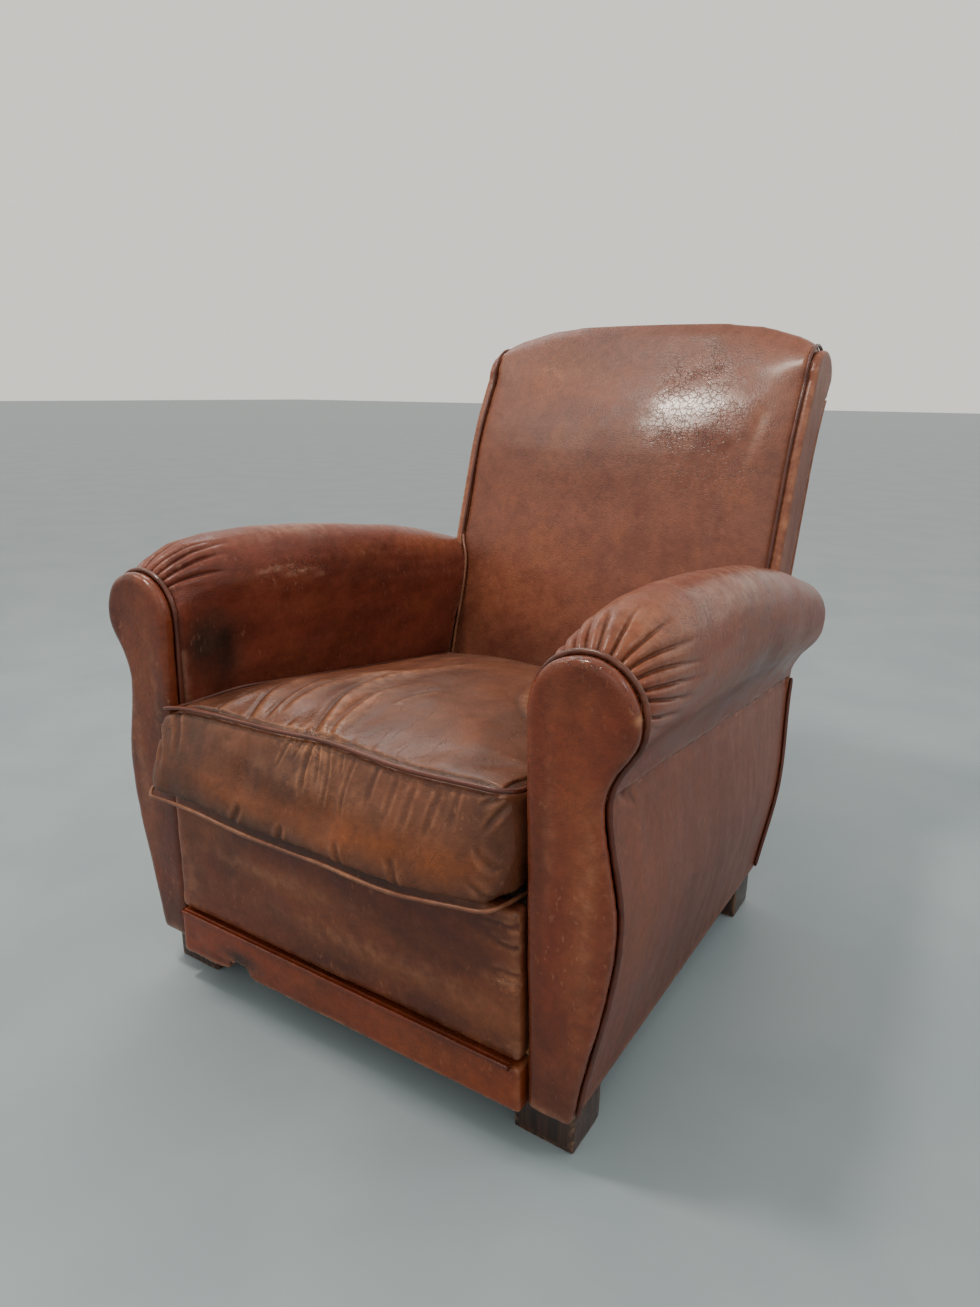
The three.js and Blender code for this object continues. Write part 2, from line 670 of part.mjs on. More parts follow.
// Outer arm panel between the facing and the outer back, under the crease of the roll
function addOuterArms() {
  const steps = 6;
  const sections = armStations.map((share) => {
    const outer = sidePoints(share, steps);
    const ring = [
      ...outer.map((point) => new THREE.Vector3(point.x, armY(share, point.y), point.y - TOUCH)),
      ...outer.map((point) => new THREE.Vector3(
        point.x - SIDE_THICKNESS, armY(share, point.y), point.y - TOUCH)).reverse(),
    ];
    return ring;
  });
  const panel = loft(sections, bandCaps);
  for (const [side, word] of SIDES) {
    addMesh(upholstery, `outer_arm_${word}`, sided(panel, side), SIDE_LEATHER);
  }
}

// Top of the back at a distance from the centre: nearly level, then falling at the shoulders
function crestZ(x) {
  return BACK_TOP_Z - BACK_SIDE_DROP * (Math.abs(x) / BACK_HALF_WIDTH) ** CREST_POWER;
}

// Over the top of the back, from the front line to the rear line, as a half ellipse
function crestArc(topZ, steps, grow = 0) {
  const front = backFront(backShoulderZ);
  const rear = backRear(backShoulderZ);
  const points = [];
  for (let i = 0; i <= steps; i += 1) {
    const angle = Math.PI - (Math.PI * i) / steps;
    points.push([
      (front + rear) / 2 + ((rear - front) / 2 + grow) * Math.cos(angle),
      backShoulderZ + (topZ - backShoulderZ + grow) * Math.sin(angle),
    ]);
  }
  return points;
}

// How far the padded front of the back stands ahead of its edges
function backCrown(x, z) {
  const across = 1 - (x / backPadHalf) ** 2;
  const height = (z - BACK_PAD_BOTTOM_Z) / (BACK_TOP_Z - BACK_PAD_BOTTOM_Z);
  return BACK_CROWN * across * Math.sin(Math.PI * THREE.MathUtils.clamp(height, 0, 1)) ** 0.8;
}

// Inside back: a crowned pad that wraps over the crest rail to the outer back
function addBackPad() {
  const upper = backLevels(BACK_KNEE_Z, backShoulderZ).slice(0, -1);
  const levels = [BACK_PAD_BOTTOM_Z, ...BACK_CROWN_LEVELS, ...upper];
  const innerTop = frameTopZ + TOUCH;
  const sections = BACK_CROWN_SHARES.map((share) => {
    const x = share * backPadHalf;
    const ring = [
      ...levels.map((z) => [backFront(z) - backCrown(x, z), z]),
      ...crestArc(crestZ(x), 10).map(([y, z], i) => [y - backCrown(x, z) * Math.max(0, 1 - i / 5), z]),
      ...backLevels(hemZ, backShoulderZ).slice(0, -1).reverse().map((z) => [backRear(z), z]),
      ...backLevels(hemZ, innerTop).map((z) => [backRear(z) - BACK_SKIN, z]),
      ...backLevels(BACK_PAD_BOTTOM_Z, innerTop).reverse().map((z) => [backFront(z) + BACK_PAD_THICKNESS, z]),
    ];
    return ring.map(([y, z]) => new THREE.Vector3(x, y, z));
  });
  addMesh(upholstery, 'back_pad', loft(sections, outlineCaps(['y', 'z'])), LEATHER);
}

// Side borders of the back, standing on the arm rails, and the welt between border and cover
function addBackBorders() {
  const low = railTopWhere(backFront) + TOUCH;
  const rearLow = railTopWhere((z) => backRear(z) - framePanel) + TOUCH;
  const outline = [
    ...backLevels(low, backShoulderZ).slice(0, -1).map((z) => [backFront(z), z]),
    ...crestArc(crestZ(BACK_HALF_WIDTH), 10),
    ...backLevels(hemZ, backShoulderZ).slice(0, -1).reverse().map((z) => [backRear(z), z]),
    ...backLevels(rearLow, hemZ).reverse().map((z) => [backRear(z) - framePanel, z]),
  ];
  const borderX = BACK_HALF_WIDTH - BORDER_THICKNESS;
  const border = alongX(outline, borderX, BACK_HALF_WIDTH);
  const out = WELT_RADIUS + 4 * TOUCH;
  const line = [
    ...backLevels(BACK_WELT_BOTTOM_Z, backShoulderZ).slice(0, -1).map((z) => [backFront(z) - out, z]),
    ...crestArc(crestZ(borderX), 10, out),
  ];
  const welt = cord(line.map(([y, z]) => new THREE.Vector3(borderX, y, z)), WELT_RADIUS, ACROSS);
  for (const [side, word] of SIDES) {
    addMesh(upholstery, `back_border_${word}`, sided(border, side), SIDE_LEATHER);
    addMesh(upholstery, `back_welt_${word}`, sided(welt, side), WELT_LEATHER);
  }
}

// Outer back: one raked panel, which covers the ends of the arm frames and narrows to the back above them
function addOuterBack() {
  const rear = sidePoints(1, 5).reverse();
  const wide = rear.map((point) => [point.x, point.y]);
  const coverTop = railTopWhere((z) => backRear(z) - framePanel) + OUTER_BACK_STEP;
  const narrow = backLevels(coverTop + OUTER_BACK_STEP, hemZ - TOUCH).map((z) => [BACK_HALF_WIDTH, z]);
  const sections = [...wide, [SIDE_REAR.creaseX, coverTop], ...narrow].map(([half, z]) => [
    new THREE.Vector3(-half, backRear(z) - BACK_SKIN, z),
    new THREE.Vector3(half, backRear(z) - BACK_SKIN, z),
    new THREE.Vector3(half, backRear(z), z),
    new THREE.Vector3(-half, backRear(z), z),
  ]);
  addMesh(upholstery, 'outer_back', loft(sections, outlineCaps(['x', 'y'])), SIDE_LEATHER);

  const out = WELT_RADIUS + 2 * TOUCH;
  const line = rear.map((point) => {
    const z = Math.max(point.y, FACING_BOTTOM + WELT_RADIUS);
    return new THREE.Vector3(point.x + out, backRear(z) - BACK_SKIN / 2, z);
  });
  const welt = cord(line, WELT_RADIUS, ACROSS);
  for (const [side, word] of SIDES) {
    addMesh(upholstery, `rear_edge_welt_${word}`, sided(welt, side), WELT_LEATHER);
  }
}

// Board in the XZ plane that fills the gap between the facings at each height
function gapBoard(fromZ, toZ) {
  const corners = [[-1, fromZ], [1, fromZ], [1, toZ], [-1, toZ]];
  return shapeOf(corners.map(([side, z]) => [side * (innerX(z) - SOFT_CLEARANCE), z]));
}

// Front border under the cushion, the double welt along its lower edge and the plinth strip
function addFront() {
  const apronTop = seatZ(FACING_THICKNESS, DECK_TOP_Z) - TOUCH;
  const apron = alongY(gapBoard(APRON_BOTTOM_Z, apronTop), -APRON_PROUD, FACING_THICKNESS, 3);
  addMesh(upholstery, 'front_apron', apron, LEATHER);
  const strip = alongY(gapBoard(STRIP_BOTTOM_Z, STRIP_TOP_Z), -STRIP_PROUD, FACING_THICKNESS, 2);
  addMesh(upholstery, 'plinth_strip', strip, LEATHER);

  const seamZ = (APRON_BOTTOM_Z + STRIP_TOP_Z) / 2;
  const radius = DOUBLE_WELT_RADIUS;
  const section = new THREE.Shape();
  section.absarc(0, radius * 0.85, radius, -Math.PI * 0.18, Math.PI * 1.18, false);
  section.absarc(0, -radius * 0.85, radius, Math.PI * 0.82, Math.PI * 2.18, false);
  const half = innerX(seamZ) - SOFT_CLEARANCE;
  const run = { depth: 2 * half, curveSegments: 5, bevelEnabled: false };
  const piping = new THREE.ExtrudeGeometry(section, run);
  piping.rotateY(Math.PI / 2).translate(-half, TOUCH - STRIP_PROUD - radius, seamZ);
  addMesh(upholstery, 'apron_double_welt', closed(piping), WELT_LEATHER);
}

// Outline of the cushion seen from above, drawn in by an inset and then scaled, anticlockwise from the right
function cushionRing(half, inset, z, scale = 1) {
  const points = [];
  const corner = CUSHION_CORNER - inset;
  const reach = half.clone().addScalar(-CUSHION_CORNER);
  for (let quarter = 0; quarter < 4; quarter += 1) {
    const turn = (share) => ((quarter + share) * Math.PI) / 2;
    for (let i = 0; i <= CUSHION_CORNER_STEPS; i += 1) {
      const angle = turn(i / CUSHION_CORNER_STEPS);
      const x = Math.sign(Math.cos(turn(0.5))) * reach.x + corner * Math.cos(angle);
      const y = Math.sign(Math.sin(turn(0.5))) * reach.y + corner * Math.sin(angle);
      points.push(new THREE.Vector3(x * scale, y * scale, z));
    }
    for (const share of CUSHION_SIDE_SHARES) {
      const x = Math.cos(turn(1)) * (half.x - inset) - Math.sin(turn(1)) * share * reach.x;
      const y = Math.sin(turn(1)) * (half.y - inset) + Math.cos(turn(1)) * share * reach.y;
      points.push(new THREE.Vector3(x * scale, y * scale, z));
    }
  }
  return points;
}

// Loose cushion: a crowned box with its top and bottom edges cut back for the piping
function addCushion() {
  const group = new THREE.Group();
  const slope = THREE.MathUtils.degToRad(SEAT_SLOPE_DEGREES);
  const inset = CUSHION_WELT_INSET;
  const halfX = innerX(DECK_TOP_Z + CUSHION_HEIGHT) - weltProud - 2 * WELT_RADIUS + inset - TOUCH;
  const rearZ = seatZ(backFront(BACK_PAD_BOTTOM_Z), DECK_TOP_Z);
  const rearY = Math.min(backFront(rearZ), backFront(BACK_PAD_BOTTOM_Z)) - SOFT_CLEARANCE;
  const half = new THREE.Vector2(halfX, (rearY + CUSHION_PROUD) / Math.cos(slope) / 2);
  const top = CUSHION_HEIGHT / 2;
  const sections = [
    cushionRing(half, cushionCut, -top),
    cushionRing(half, 0, cushionCut - top),
    cushionRing(half, 0, top - cushionCut),
    ...CUSHION_CROWN_SCALES.map((scale) => (
      cushionRing(half, cushionCut, top + CUSHION_CROWN * (1 - scale ** 2) ** CUSHION_CROWN_POWER, scale))),
  ];
  addMesh(group, 'seat_cushion', loft(sections, fanCaps), CUSHION_LEATHER);

  const rearMiddle = CUSHION_CORNER_STEPS + 1 + CUSHION_SIDE_SHARES.indexOf(0);
  for (const [level, word] of [[1, 'top'], [-1, 'bottom']]) {
    const ring = cushionRing(half, inset, level * (top - inset));
    const seam = [...ring.slice(rearMiddle), ...ring.slice(0, rearMiddle)];
    seam.push(seam[0].clone().addScaledVector(ACROSS, 2 * TOUCH));
    addMesh(group, `cushion_welt_${word}`, cord(seam, WELT_RADIUS, UP), WELT_LEATHER);
  }
  group.rotation.x = -slope;
  const middleY = (rearY - CUSHION_PROUD) / 2;
  const lift = top + WELT_RADIUS - inset + TOUCH;
  group.position.set(
    0, middleY + lift * Math.sin(slope), seatZ(middleY, DECK_TOP_Z) + lift * Math.cos(slope));
  upholstery.add(group);
}

// Dust cover: a thin cloth under the webbing, notched round the feet
function addDustCover() {
  const half = sideFrameX - DUST_COVER_MARGIN;
  const notchX = sideFrameX - FOOT_WIDTH - DUST_COVER_MARGIN;
  const frontY = FACING_THICKNESS + DUST_COVER_MARGIN;
  const rearY = backRear(dustCoverZ) - framePanel - DUST_COVER_MARGIN;
  const frontNotch = FRONT_FOOT_SETBACK + FOOT_DEPTH + DUST_COVER_MARGIN;
  const rearNotch = rearFootY - FOOT_DEPTH - DUST_COVER_MARGIN;
  const right = [
    [notchX, frontY], [notchX, frontNotch], [half, frontNotch],
    [half, rearNotch], [notchX, rearNotch], [notchX, rearY],
  ];
  const outline = [...right, ...right.map(([x, y]) => [-x, y]).reverse()];
  const options = { depth: DUST_COVER_THICKNESS, bevelEnabled: false };
  const cloth = new THREE.ExtrudeGeometry(shapeOf(outline), options);
  addMesh(upholstery, 'dust_cover', closed(cloth.translate(0, 0, dustCoverZ)), BLACK_CLOTH);
}

addFeet();
addSeatRails();
addArmFrames();
addBackFrame();
addWebbing();
addSprings();
addSeatDeck();
addFacings();
addArmPads();
addOuterArms();
addBackPad();
addBackBorders();
addOuterBack();
addFront();
addCushion();
addDustCover();

// The origin is on the floor, under the middle of the whole chair
chair.updateMatrixWorld(true);
const extent = new THREE.Box3().setFromObject(chair, true);
chair.position.y = -(extent.min.y + extent.max.y) / 2;

export default chair;
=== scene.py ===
"""Looks of a worn leather club chair with rolled arms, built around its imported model."""

import logging
import math
from dataclasses import dataclass, field
from enum import Enum
from typing import Callable, Sequence

import bmesh
import bpy
import numpy as np
from mathutils import Matrix, Vector


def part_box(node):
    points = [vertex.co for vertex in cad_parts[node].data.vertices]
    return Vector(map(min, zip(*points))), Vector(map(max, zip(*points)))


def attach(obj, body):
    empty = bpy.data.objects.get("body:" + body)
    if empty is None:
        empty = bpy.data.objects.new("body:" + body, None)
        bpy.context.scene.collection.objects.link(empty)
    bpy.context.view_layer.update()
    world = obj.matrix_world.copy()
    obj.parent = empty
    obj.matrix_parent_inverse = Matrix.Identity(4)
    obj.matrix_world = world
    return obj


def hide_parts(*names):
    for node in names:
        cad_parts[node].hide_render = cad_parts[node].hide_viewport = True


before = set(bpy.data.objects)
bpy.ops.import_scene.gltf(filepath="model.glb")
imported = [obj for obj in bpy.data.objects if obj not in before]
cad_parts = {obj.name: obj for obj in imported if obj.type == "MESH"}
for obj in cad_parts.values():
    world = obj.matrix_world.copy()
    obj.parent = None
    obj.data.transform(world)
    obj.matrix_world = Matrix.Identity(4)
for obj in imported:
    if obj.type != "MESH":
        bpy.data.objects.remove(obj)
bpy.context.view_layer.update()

log = logging.getLogger("club_chair")
BODY = "root"
MM = 0.001
FACING_FRONT_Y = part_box("arm_facing_right")[0].y
JOIN = 0.01 * MM
SMOOTHING = 0.5
SHARP_ANGLE = math.radians(50)


class Side(Enum):
    """The chair's left or right as seen when facing it, with the sign of x there."""

    LEFT = -1.0
    RIGHT = 1.0

    @property
    def word(self) -> str:
        """Its word in a piece's name."""
        return self.name.lower()


# Numbers and shapes


def linear(value: str) -> tuple[float, float, float, float]:
    """Turn an sRGB hex colour into linear light.

    Args:
        value: The colour as "#rrggbb".

    Returns:
        Red, green, blue and an alpha of one.
    """
    parts = [int(value[i : i + 2], 16) / 255 for i in (1, 3, 5)]
    light = [p / 12.92 if p <= 0.04045 else ((p + 0.055) / 1.055) ** 2.4 for p in parts]
    return (light[0], light[1], light[2], 1.0)


def ease(low: float, high: float, value: np.ndarray) -> np.ndarray:
    """Rise smoothly from 0 at low to 1 at high (low may be the larger one)."""
    share = np.clip((value - low) / (high - low), 0, 1)
    return share * share * (3 - 2 * share)


def bell(distance: np.ndarray, width: float) -> np.ndarray:
    """Give a smooth hump that is 1 at no distance and fades over width."""
    return np.exp(-((distance / width) ** 2))


def lattice(cells: np.ndarray, seed: int) -> np.ndarray:
    """Give each whole-numbered cell its own value from -1 to 1.

    Args:
        cells: Whole numbers, three to a row.
        seed: Which set of values to draw.

    Returns:
        One value per row.
    """
    mixed = cells[:, 0] * 374761393 + cells[:, 1] * 668265263 + cells[:, 2] * 1274126177 + seed * 144269
    mixed = (mixed ^ (mixed >> 13)) & 0xFFFFFFFF
    mixed = (mixed * 1103515245 + 12345) & 0xFFFFFFFF
    mixed = (mixed ^ (mixed >> 16)) & 0xFFFF
    return mixed / 32767.5 - 1


def noise(points: np.ndarray, size: float, seed: int = 0) -> np.ndarray:
    """Give smooth noise over space.

    Args:
        points: Places in metres.
        size: Size of one patch in metres.
        seed: Which pattern to draw.

    Returns:
        Values from -1 to 1.
    """
    scaled = points / size + 0.37 * seed
    cell = np.floor(scaled).astype(np.int64)
    part = scaled - cell
    weight = part * part * (3 - 2 * part)
    total = np.zeros(len(points))
    for corner in range(8):
        step = np.array([corner & 1, corner >> 1 & 1, corner >> 2 & 1])
        share = np.where(step, weight, 1 - weight).prod(axis=1)
        total += share * lattice(cell + step, seed)
    return total


def rounded(line: Sequence[Sequence[float]], rounds: int = 3) -> np.ndarray:
    """Cut the corners of a line of points until it is a smooth curve.

    Args:
        line: The points, two or three numbers each.
        rounds: How many times the corners are cut.

    Returns:
        The smoother line.
    """
    points = np.array(line, float)
    for _ in range(rounds):
        near = 0.75 * points[:-1] + 0.25 * points[1:]
        far = 0.25 * points[:-1] + 0.75 * points[1:]
        middle = np.stack([near, far], axis=1).reshape(-1, points.shape[1])
        points = np.concatenate([points[:1], middle, points[-1:]])
    return points


def beside(points: np.ndarray, line: np.ndarray) -> tuple[np.ndarray, np.ndarray]:
    """Measure flat points against a flat line.

    Args:
        points: Two numbers to a row.
        line: The line's points, two numbers to a row.

    Returns:
        The signed distance to the line, positive on its left, and the share of the line's length reached.
    """
    lengths = np.linalg.norm(np.diff(line, axis=0), axis=1)
    starts = np.concatenate([[0], np.cumsum(lengths)])
    best = np.full(len(points), 1e9)
    signed, share = np.zeros(len(points)), np.zeros(len(points))
    for i, length in enumerate(lengths):
        way = (line[i + 1] - line[i]) / length
        offset = points - line[i]
        along = np.clip(offset @ way, 0, length)
        gap = np.linalg.norm(offset - along[:, None] * way, axis=1)
        side = np.sign(way[0] * offset[:, 1] - way[1] * offset[:, 0])
        nearer = gap < best
        best = np.where(nearer, gap, best)
        signed = np.where(nearer, gap * side, signed)
        share = np.where(nearer, (starts[i] + along) / starts[-1], share)
    return signed, share


@dataclass(frozen=True)
class Patch:
    """A soft-edged patch of colour or wear, in the row frame.

    Attributes:
        centre: Its middle in millimetres.
        reach: How far it fades along x, y and z, in millimetres.
        amount: How strong it is.
    """

    centre: tuple[float, float, float]
    reach: tuple[float, float, float]
    amount: float

    def on(self, points: np.ndarray) -> np.ndarray:
        """Give the patch's strength at each point.

        Args:
            points: Places in metres.

        Returns:
            One strength per place.
        """
        apart = (points / MM - np.array(self.centre)) / np.array(self.reach)
        ragged = 1 + 0.35 * noise(points, 0.03, 5) + 0.2 * noise(points, 0.01, 6)
        return self.amount * np.exp(-(apart**2).sum(axis=1) * ragged)


def patches(points: np.ndarray, spots: Sequence[Patch]) -> np.ndarray:
    """Add several patches up."""
    return sum((spot.on(points) for spot in spots), np.zeros(len(points)))


# Pieces


class Skin:
    """A piece that starts as the merged copy of one CAD node."""

    def __init__(self, name: str, node: str) -> None:
        """Copy the node's mesh and join its loose triangles.

        Args:
            name: The piece's name.
            node: The CAD node it stands for.
        """
        self.node = node
        self.piece = bpy.data.objects.new(name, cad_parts[node].data.copy())
        self.piece.data.materials.clear()
        bpy.context.scene.collection.objects.link(self.piece)
        self.edit(lambda bm: bmesh.ops.remove_doubles(bm, verts=bm.verts, dist=JOIN))

    @property
    def mesh(self) -> bpy.types.Mesh:
        """The piece's mesh."""
        return self.piece.data

    def edit(self, action: Callable[[bmesh.types.BMesh], object]) -> None:
        """Run bmesh operators on the mesh.

        Args:
            action: What to do with the open bmesh.
        """
        bm = bmesh.new()
        bm.from_mesh(self.mesh)
        action(bm)
        bm.to_mesh(self.mesh)
        bm.free()
        self.mesh.update()

    def bake(self, modifier: bpy.types.Modifier) -> None:
        """Make a modifier's result the piece's own mesh, and remove the modifier.

        Args:
            modifier: The piece's only modifier.
        """
        evaluated = self.piece.evaluated_get(bpy.context.evaluated_depsgraph_get())
        fresh = bpy.data.meshes.new_from_object(evaluated)
        self.piece.modifiers.remove(modifier)
        self.piece.data = fresh

    def remesh(self, voxel: float) -> None:
        """Rebuild the surface from even squares of a size in millimetres.

        Args:
            voxel: Size of a square in millimetres.
        """
        modifier = self.piece.modifiers.new("even_squares", "REMESH")
        modifier.mode = "VOXEL"
        modifier.voxel_size = voxel * MM
        self.bake(modifier)

    def subdivide(self, levels: int) -> None:
        """Round the surface off by subdividing it.

        Args:
            levels: How many times each face is split.
        """
        modifier = self.piece.modifiers.new("round_off", "SUBSURF")
        modifier.levels = modifier.render_levels = levels
        self.bake(modifier)

    def slice(self, steps: Sequence[float]) -> None:
        """Cut a thin shell into a grid, so that its faces can bend.

        Args:
            steps: Spacing of the cuts along x, y and z in millimetres, 0 for none.
        """

        def cut(bm: bmesh.types.BMesh) -> None:
            """Cut the mesh plane by plane.

            Args:
                bm: The open mesh.
            """
            for axis, step in enumerate(steps):
                if step:
                    places = [v.co[axis] for v in bm.verts]
                    normal = Vector([float(i == axis) for i in range(3)])
                    for at in np.arange(min(places) + step * MM / 2, max(places), step * MM):
                        everything = [*bm.verts, *bm.edges, *bm.faces]
                        bmesh.ops.bisect_plane(
                            bm, geom=everything, dist=1e-7, plane_co=normal * at, plane_no=normal)
            bmesh.ops.triangulate(bm, faces=[f for f in bm.faces if len(f.verts) > 4])

        self.edit(cut)

    def soften(self, rounds: int, where: np.ndarray | None = None) -> None:
        """Smooth the surface by passes of vertex averaging.

        Args:
            rounds: How many passes.
            where: Which vertices may move, or all of them.
        """

        def smooth(bm: bmesh.types.BMesh) -> None:
            """Average each vertex with its neighbours.

            Args:
                bm: The open mesh.
            """
            chosen = [v for v in bm.verts if where is None or where[v.index]]
            for _ in range(rounds):
                bmesh.ops.smooth_vert(
                    bm, verts=chosen, factor=SMOOTHING, use_axis_x=True, use_axis_y=True, use_axis_z=True)

        self.edit(smooth)

    def refine(self, where: Callable[[np.ndarray], np.ndarray]) -> None:
        """Halve the squares of one region.

        Args:
            where: Says which points lie in the region.
        """
        chosen = where(self.points)

        def halve(bm: bmesh.types.BMesh) -> None:
            """Split the region's edges in two."""
            edges = [e for e in bm.edges if chosen[e.verts[0].index] and chosen[e.verts[1].index]]
            bmesh.ops.subdivide_edges(bm, edges=edges, cuts=1, use_grid_fill=True, smooth=0)

        self.edit(halve)

    @property
    def points(self) -> np.ndarray:
        """The vertices' places in metres.

        Returns:
            Three numbers to a row.
        """
        values = np.empty(len(self.mesh.vertices) * 3)
        self.mesh.vertices.foreach_get("co", values)
        return values.reshape(-1, 3)

    @points.setter
    def points(self, places: np.ndarray) -> None:
        """Move the vertices."""
        self.mesh.vertices.foreach_set("co", places.ravel())
        self.mesh.update()

    @property
    def normals(self) -> np.ndarray:
        """The direction the surface faces at each vertex.

        Returns:
            Unit vectors, three numbers to a row.
        """
        values = np.empty(len(self.mesh.vertices) * 3, np.float32)
        self.mesh.vertex_normals.foreach_get("vector", values)
        return values.reshape(-1, 3).astype(float)

    def push(self, amount: np.ndarray) -> None:
        """Move each vertex along its normal by an amount in millimetres."""
        self.points = self.points + self.normals * (amount * MM)[:, None]

    def swell(self) -> np.ndarray:
        """Measure how far each vertex stands out of its neighbours.

        Returns:
            About 1 on a sharp ridge and -1 in a sharp valley.
        """
        ends = np.empty(len(self.mesh.edges) * 2, np.int32)
        self.mesh.edges.foreach_get("vertices", ends)
        a, b = ends.reshape(-1, 2).T
        places, count = self.points, len(self.mesh.vertices)
        near = np.bincount(a, minlength=count) + np.bincount(b, minlength=count)
        near = np.maximum(near, 1)
        sums = [np.bincount(a, places[b, k], count) + np.bincount(b, places[a, k], count) for k in range(3)]
        middle = np.stack(sums, axis=1)
        lean = ((places - middle / near[:, None]) * self.normals).sum(axis=1)
        length = np.linalg.norm(places[a] - places[b], axis=1).mean()
        return np.clip(lean / length * 6, -1, 1)

    def paint(self, **layers: np.ndarray) -> None:
        """Store values that the leather reads, such as wear and dirt.

        Args:
            layers: One value per vertex under each layer's name.
        """
        for name, values in layers.items():
            layer = self.mesh.attributes.get(name) or self.mesh.attributes.new(name, "FLOAT", "POINT")
            layer.data.foreach_set("value", values.astype(np.float32))

    def add(self, name: str, values: np.ndarray) -> None:
        """Add values to one painted layer.

        Args:
            name: The layer.
            values: One value per vertex.
        """
        before = np.empty(len(values), np.float32)
        self.mesh.attributes[name].data.foreach_get("value", before)
        self.paint(**{name: before + values})

    def weathered(self, tone: Sequence[Patch] = (), warm: Sequence[Patch] = (), wear: Sequence[Patch] = (),
                  dirt: Sequence[Patch] = (), cracks: Sequence[Patch] = (), rub_and_shading: float = 0.5) -> None:
        """Paint every layer of a leather piece.

        Args:
            tone: Patches that lighten or darken.
            warm: Patches of orange-brown.
            wear: Patches rubbed to the tan hide.
            dirt: Grey-brown grime.
            cracks: Patches of crazed finish.
            rub_and_shading: How strongly ridges are painted paler, as rubbed hide and as painted highlight,
                and valleys darker, as painted shade and as dirt.
        """
        places, standing = self.points, self.swell()
        # Valleys get painted shade in the tone layer and dirt; ridges are painted paler, partly rubbed hide
        # and partly painted highlight
        self.paint(
            tone=patches(places, tone) + 0.45 * rub_and_shading * np.minimum(standing, 0),
            warm=patches(places, warm),
            wear=patches(places, wear) + rub_and_shading * np.maximum(standing, 0),
            dirt=patches(places, dirt) + 0.5 * rub_and_shading * np.maximum(-standing, 0),
            cracks=patches(places, cracks))

    def done(self, material: bpy.types.Material,
             crisp: bool = False) -> bpy.types.Object:
        """Dress the piece, and put it in its CAD node's place.

        Args:
            material: The finish.
            crisp: Whether its edges stay sharp.

        Returns:
            The finished object.
        """
        self.mesh.materials.clear()
        self.mesh.materials.append(material)
        self.mesh.shade_smooth()
        if crisp:
            self.mesh.set_sharp_from_angle(angle=SHARP_ANGLE)
        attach(self.piece, BODY)
        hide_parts(self.node)
        log.info("%s: %d vertices", self.piece.name, len(self.mesh.vertices))
        return self.piece


# Finishes


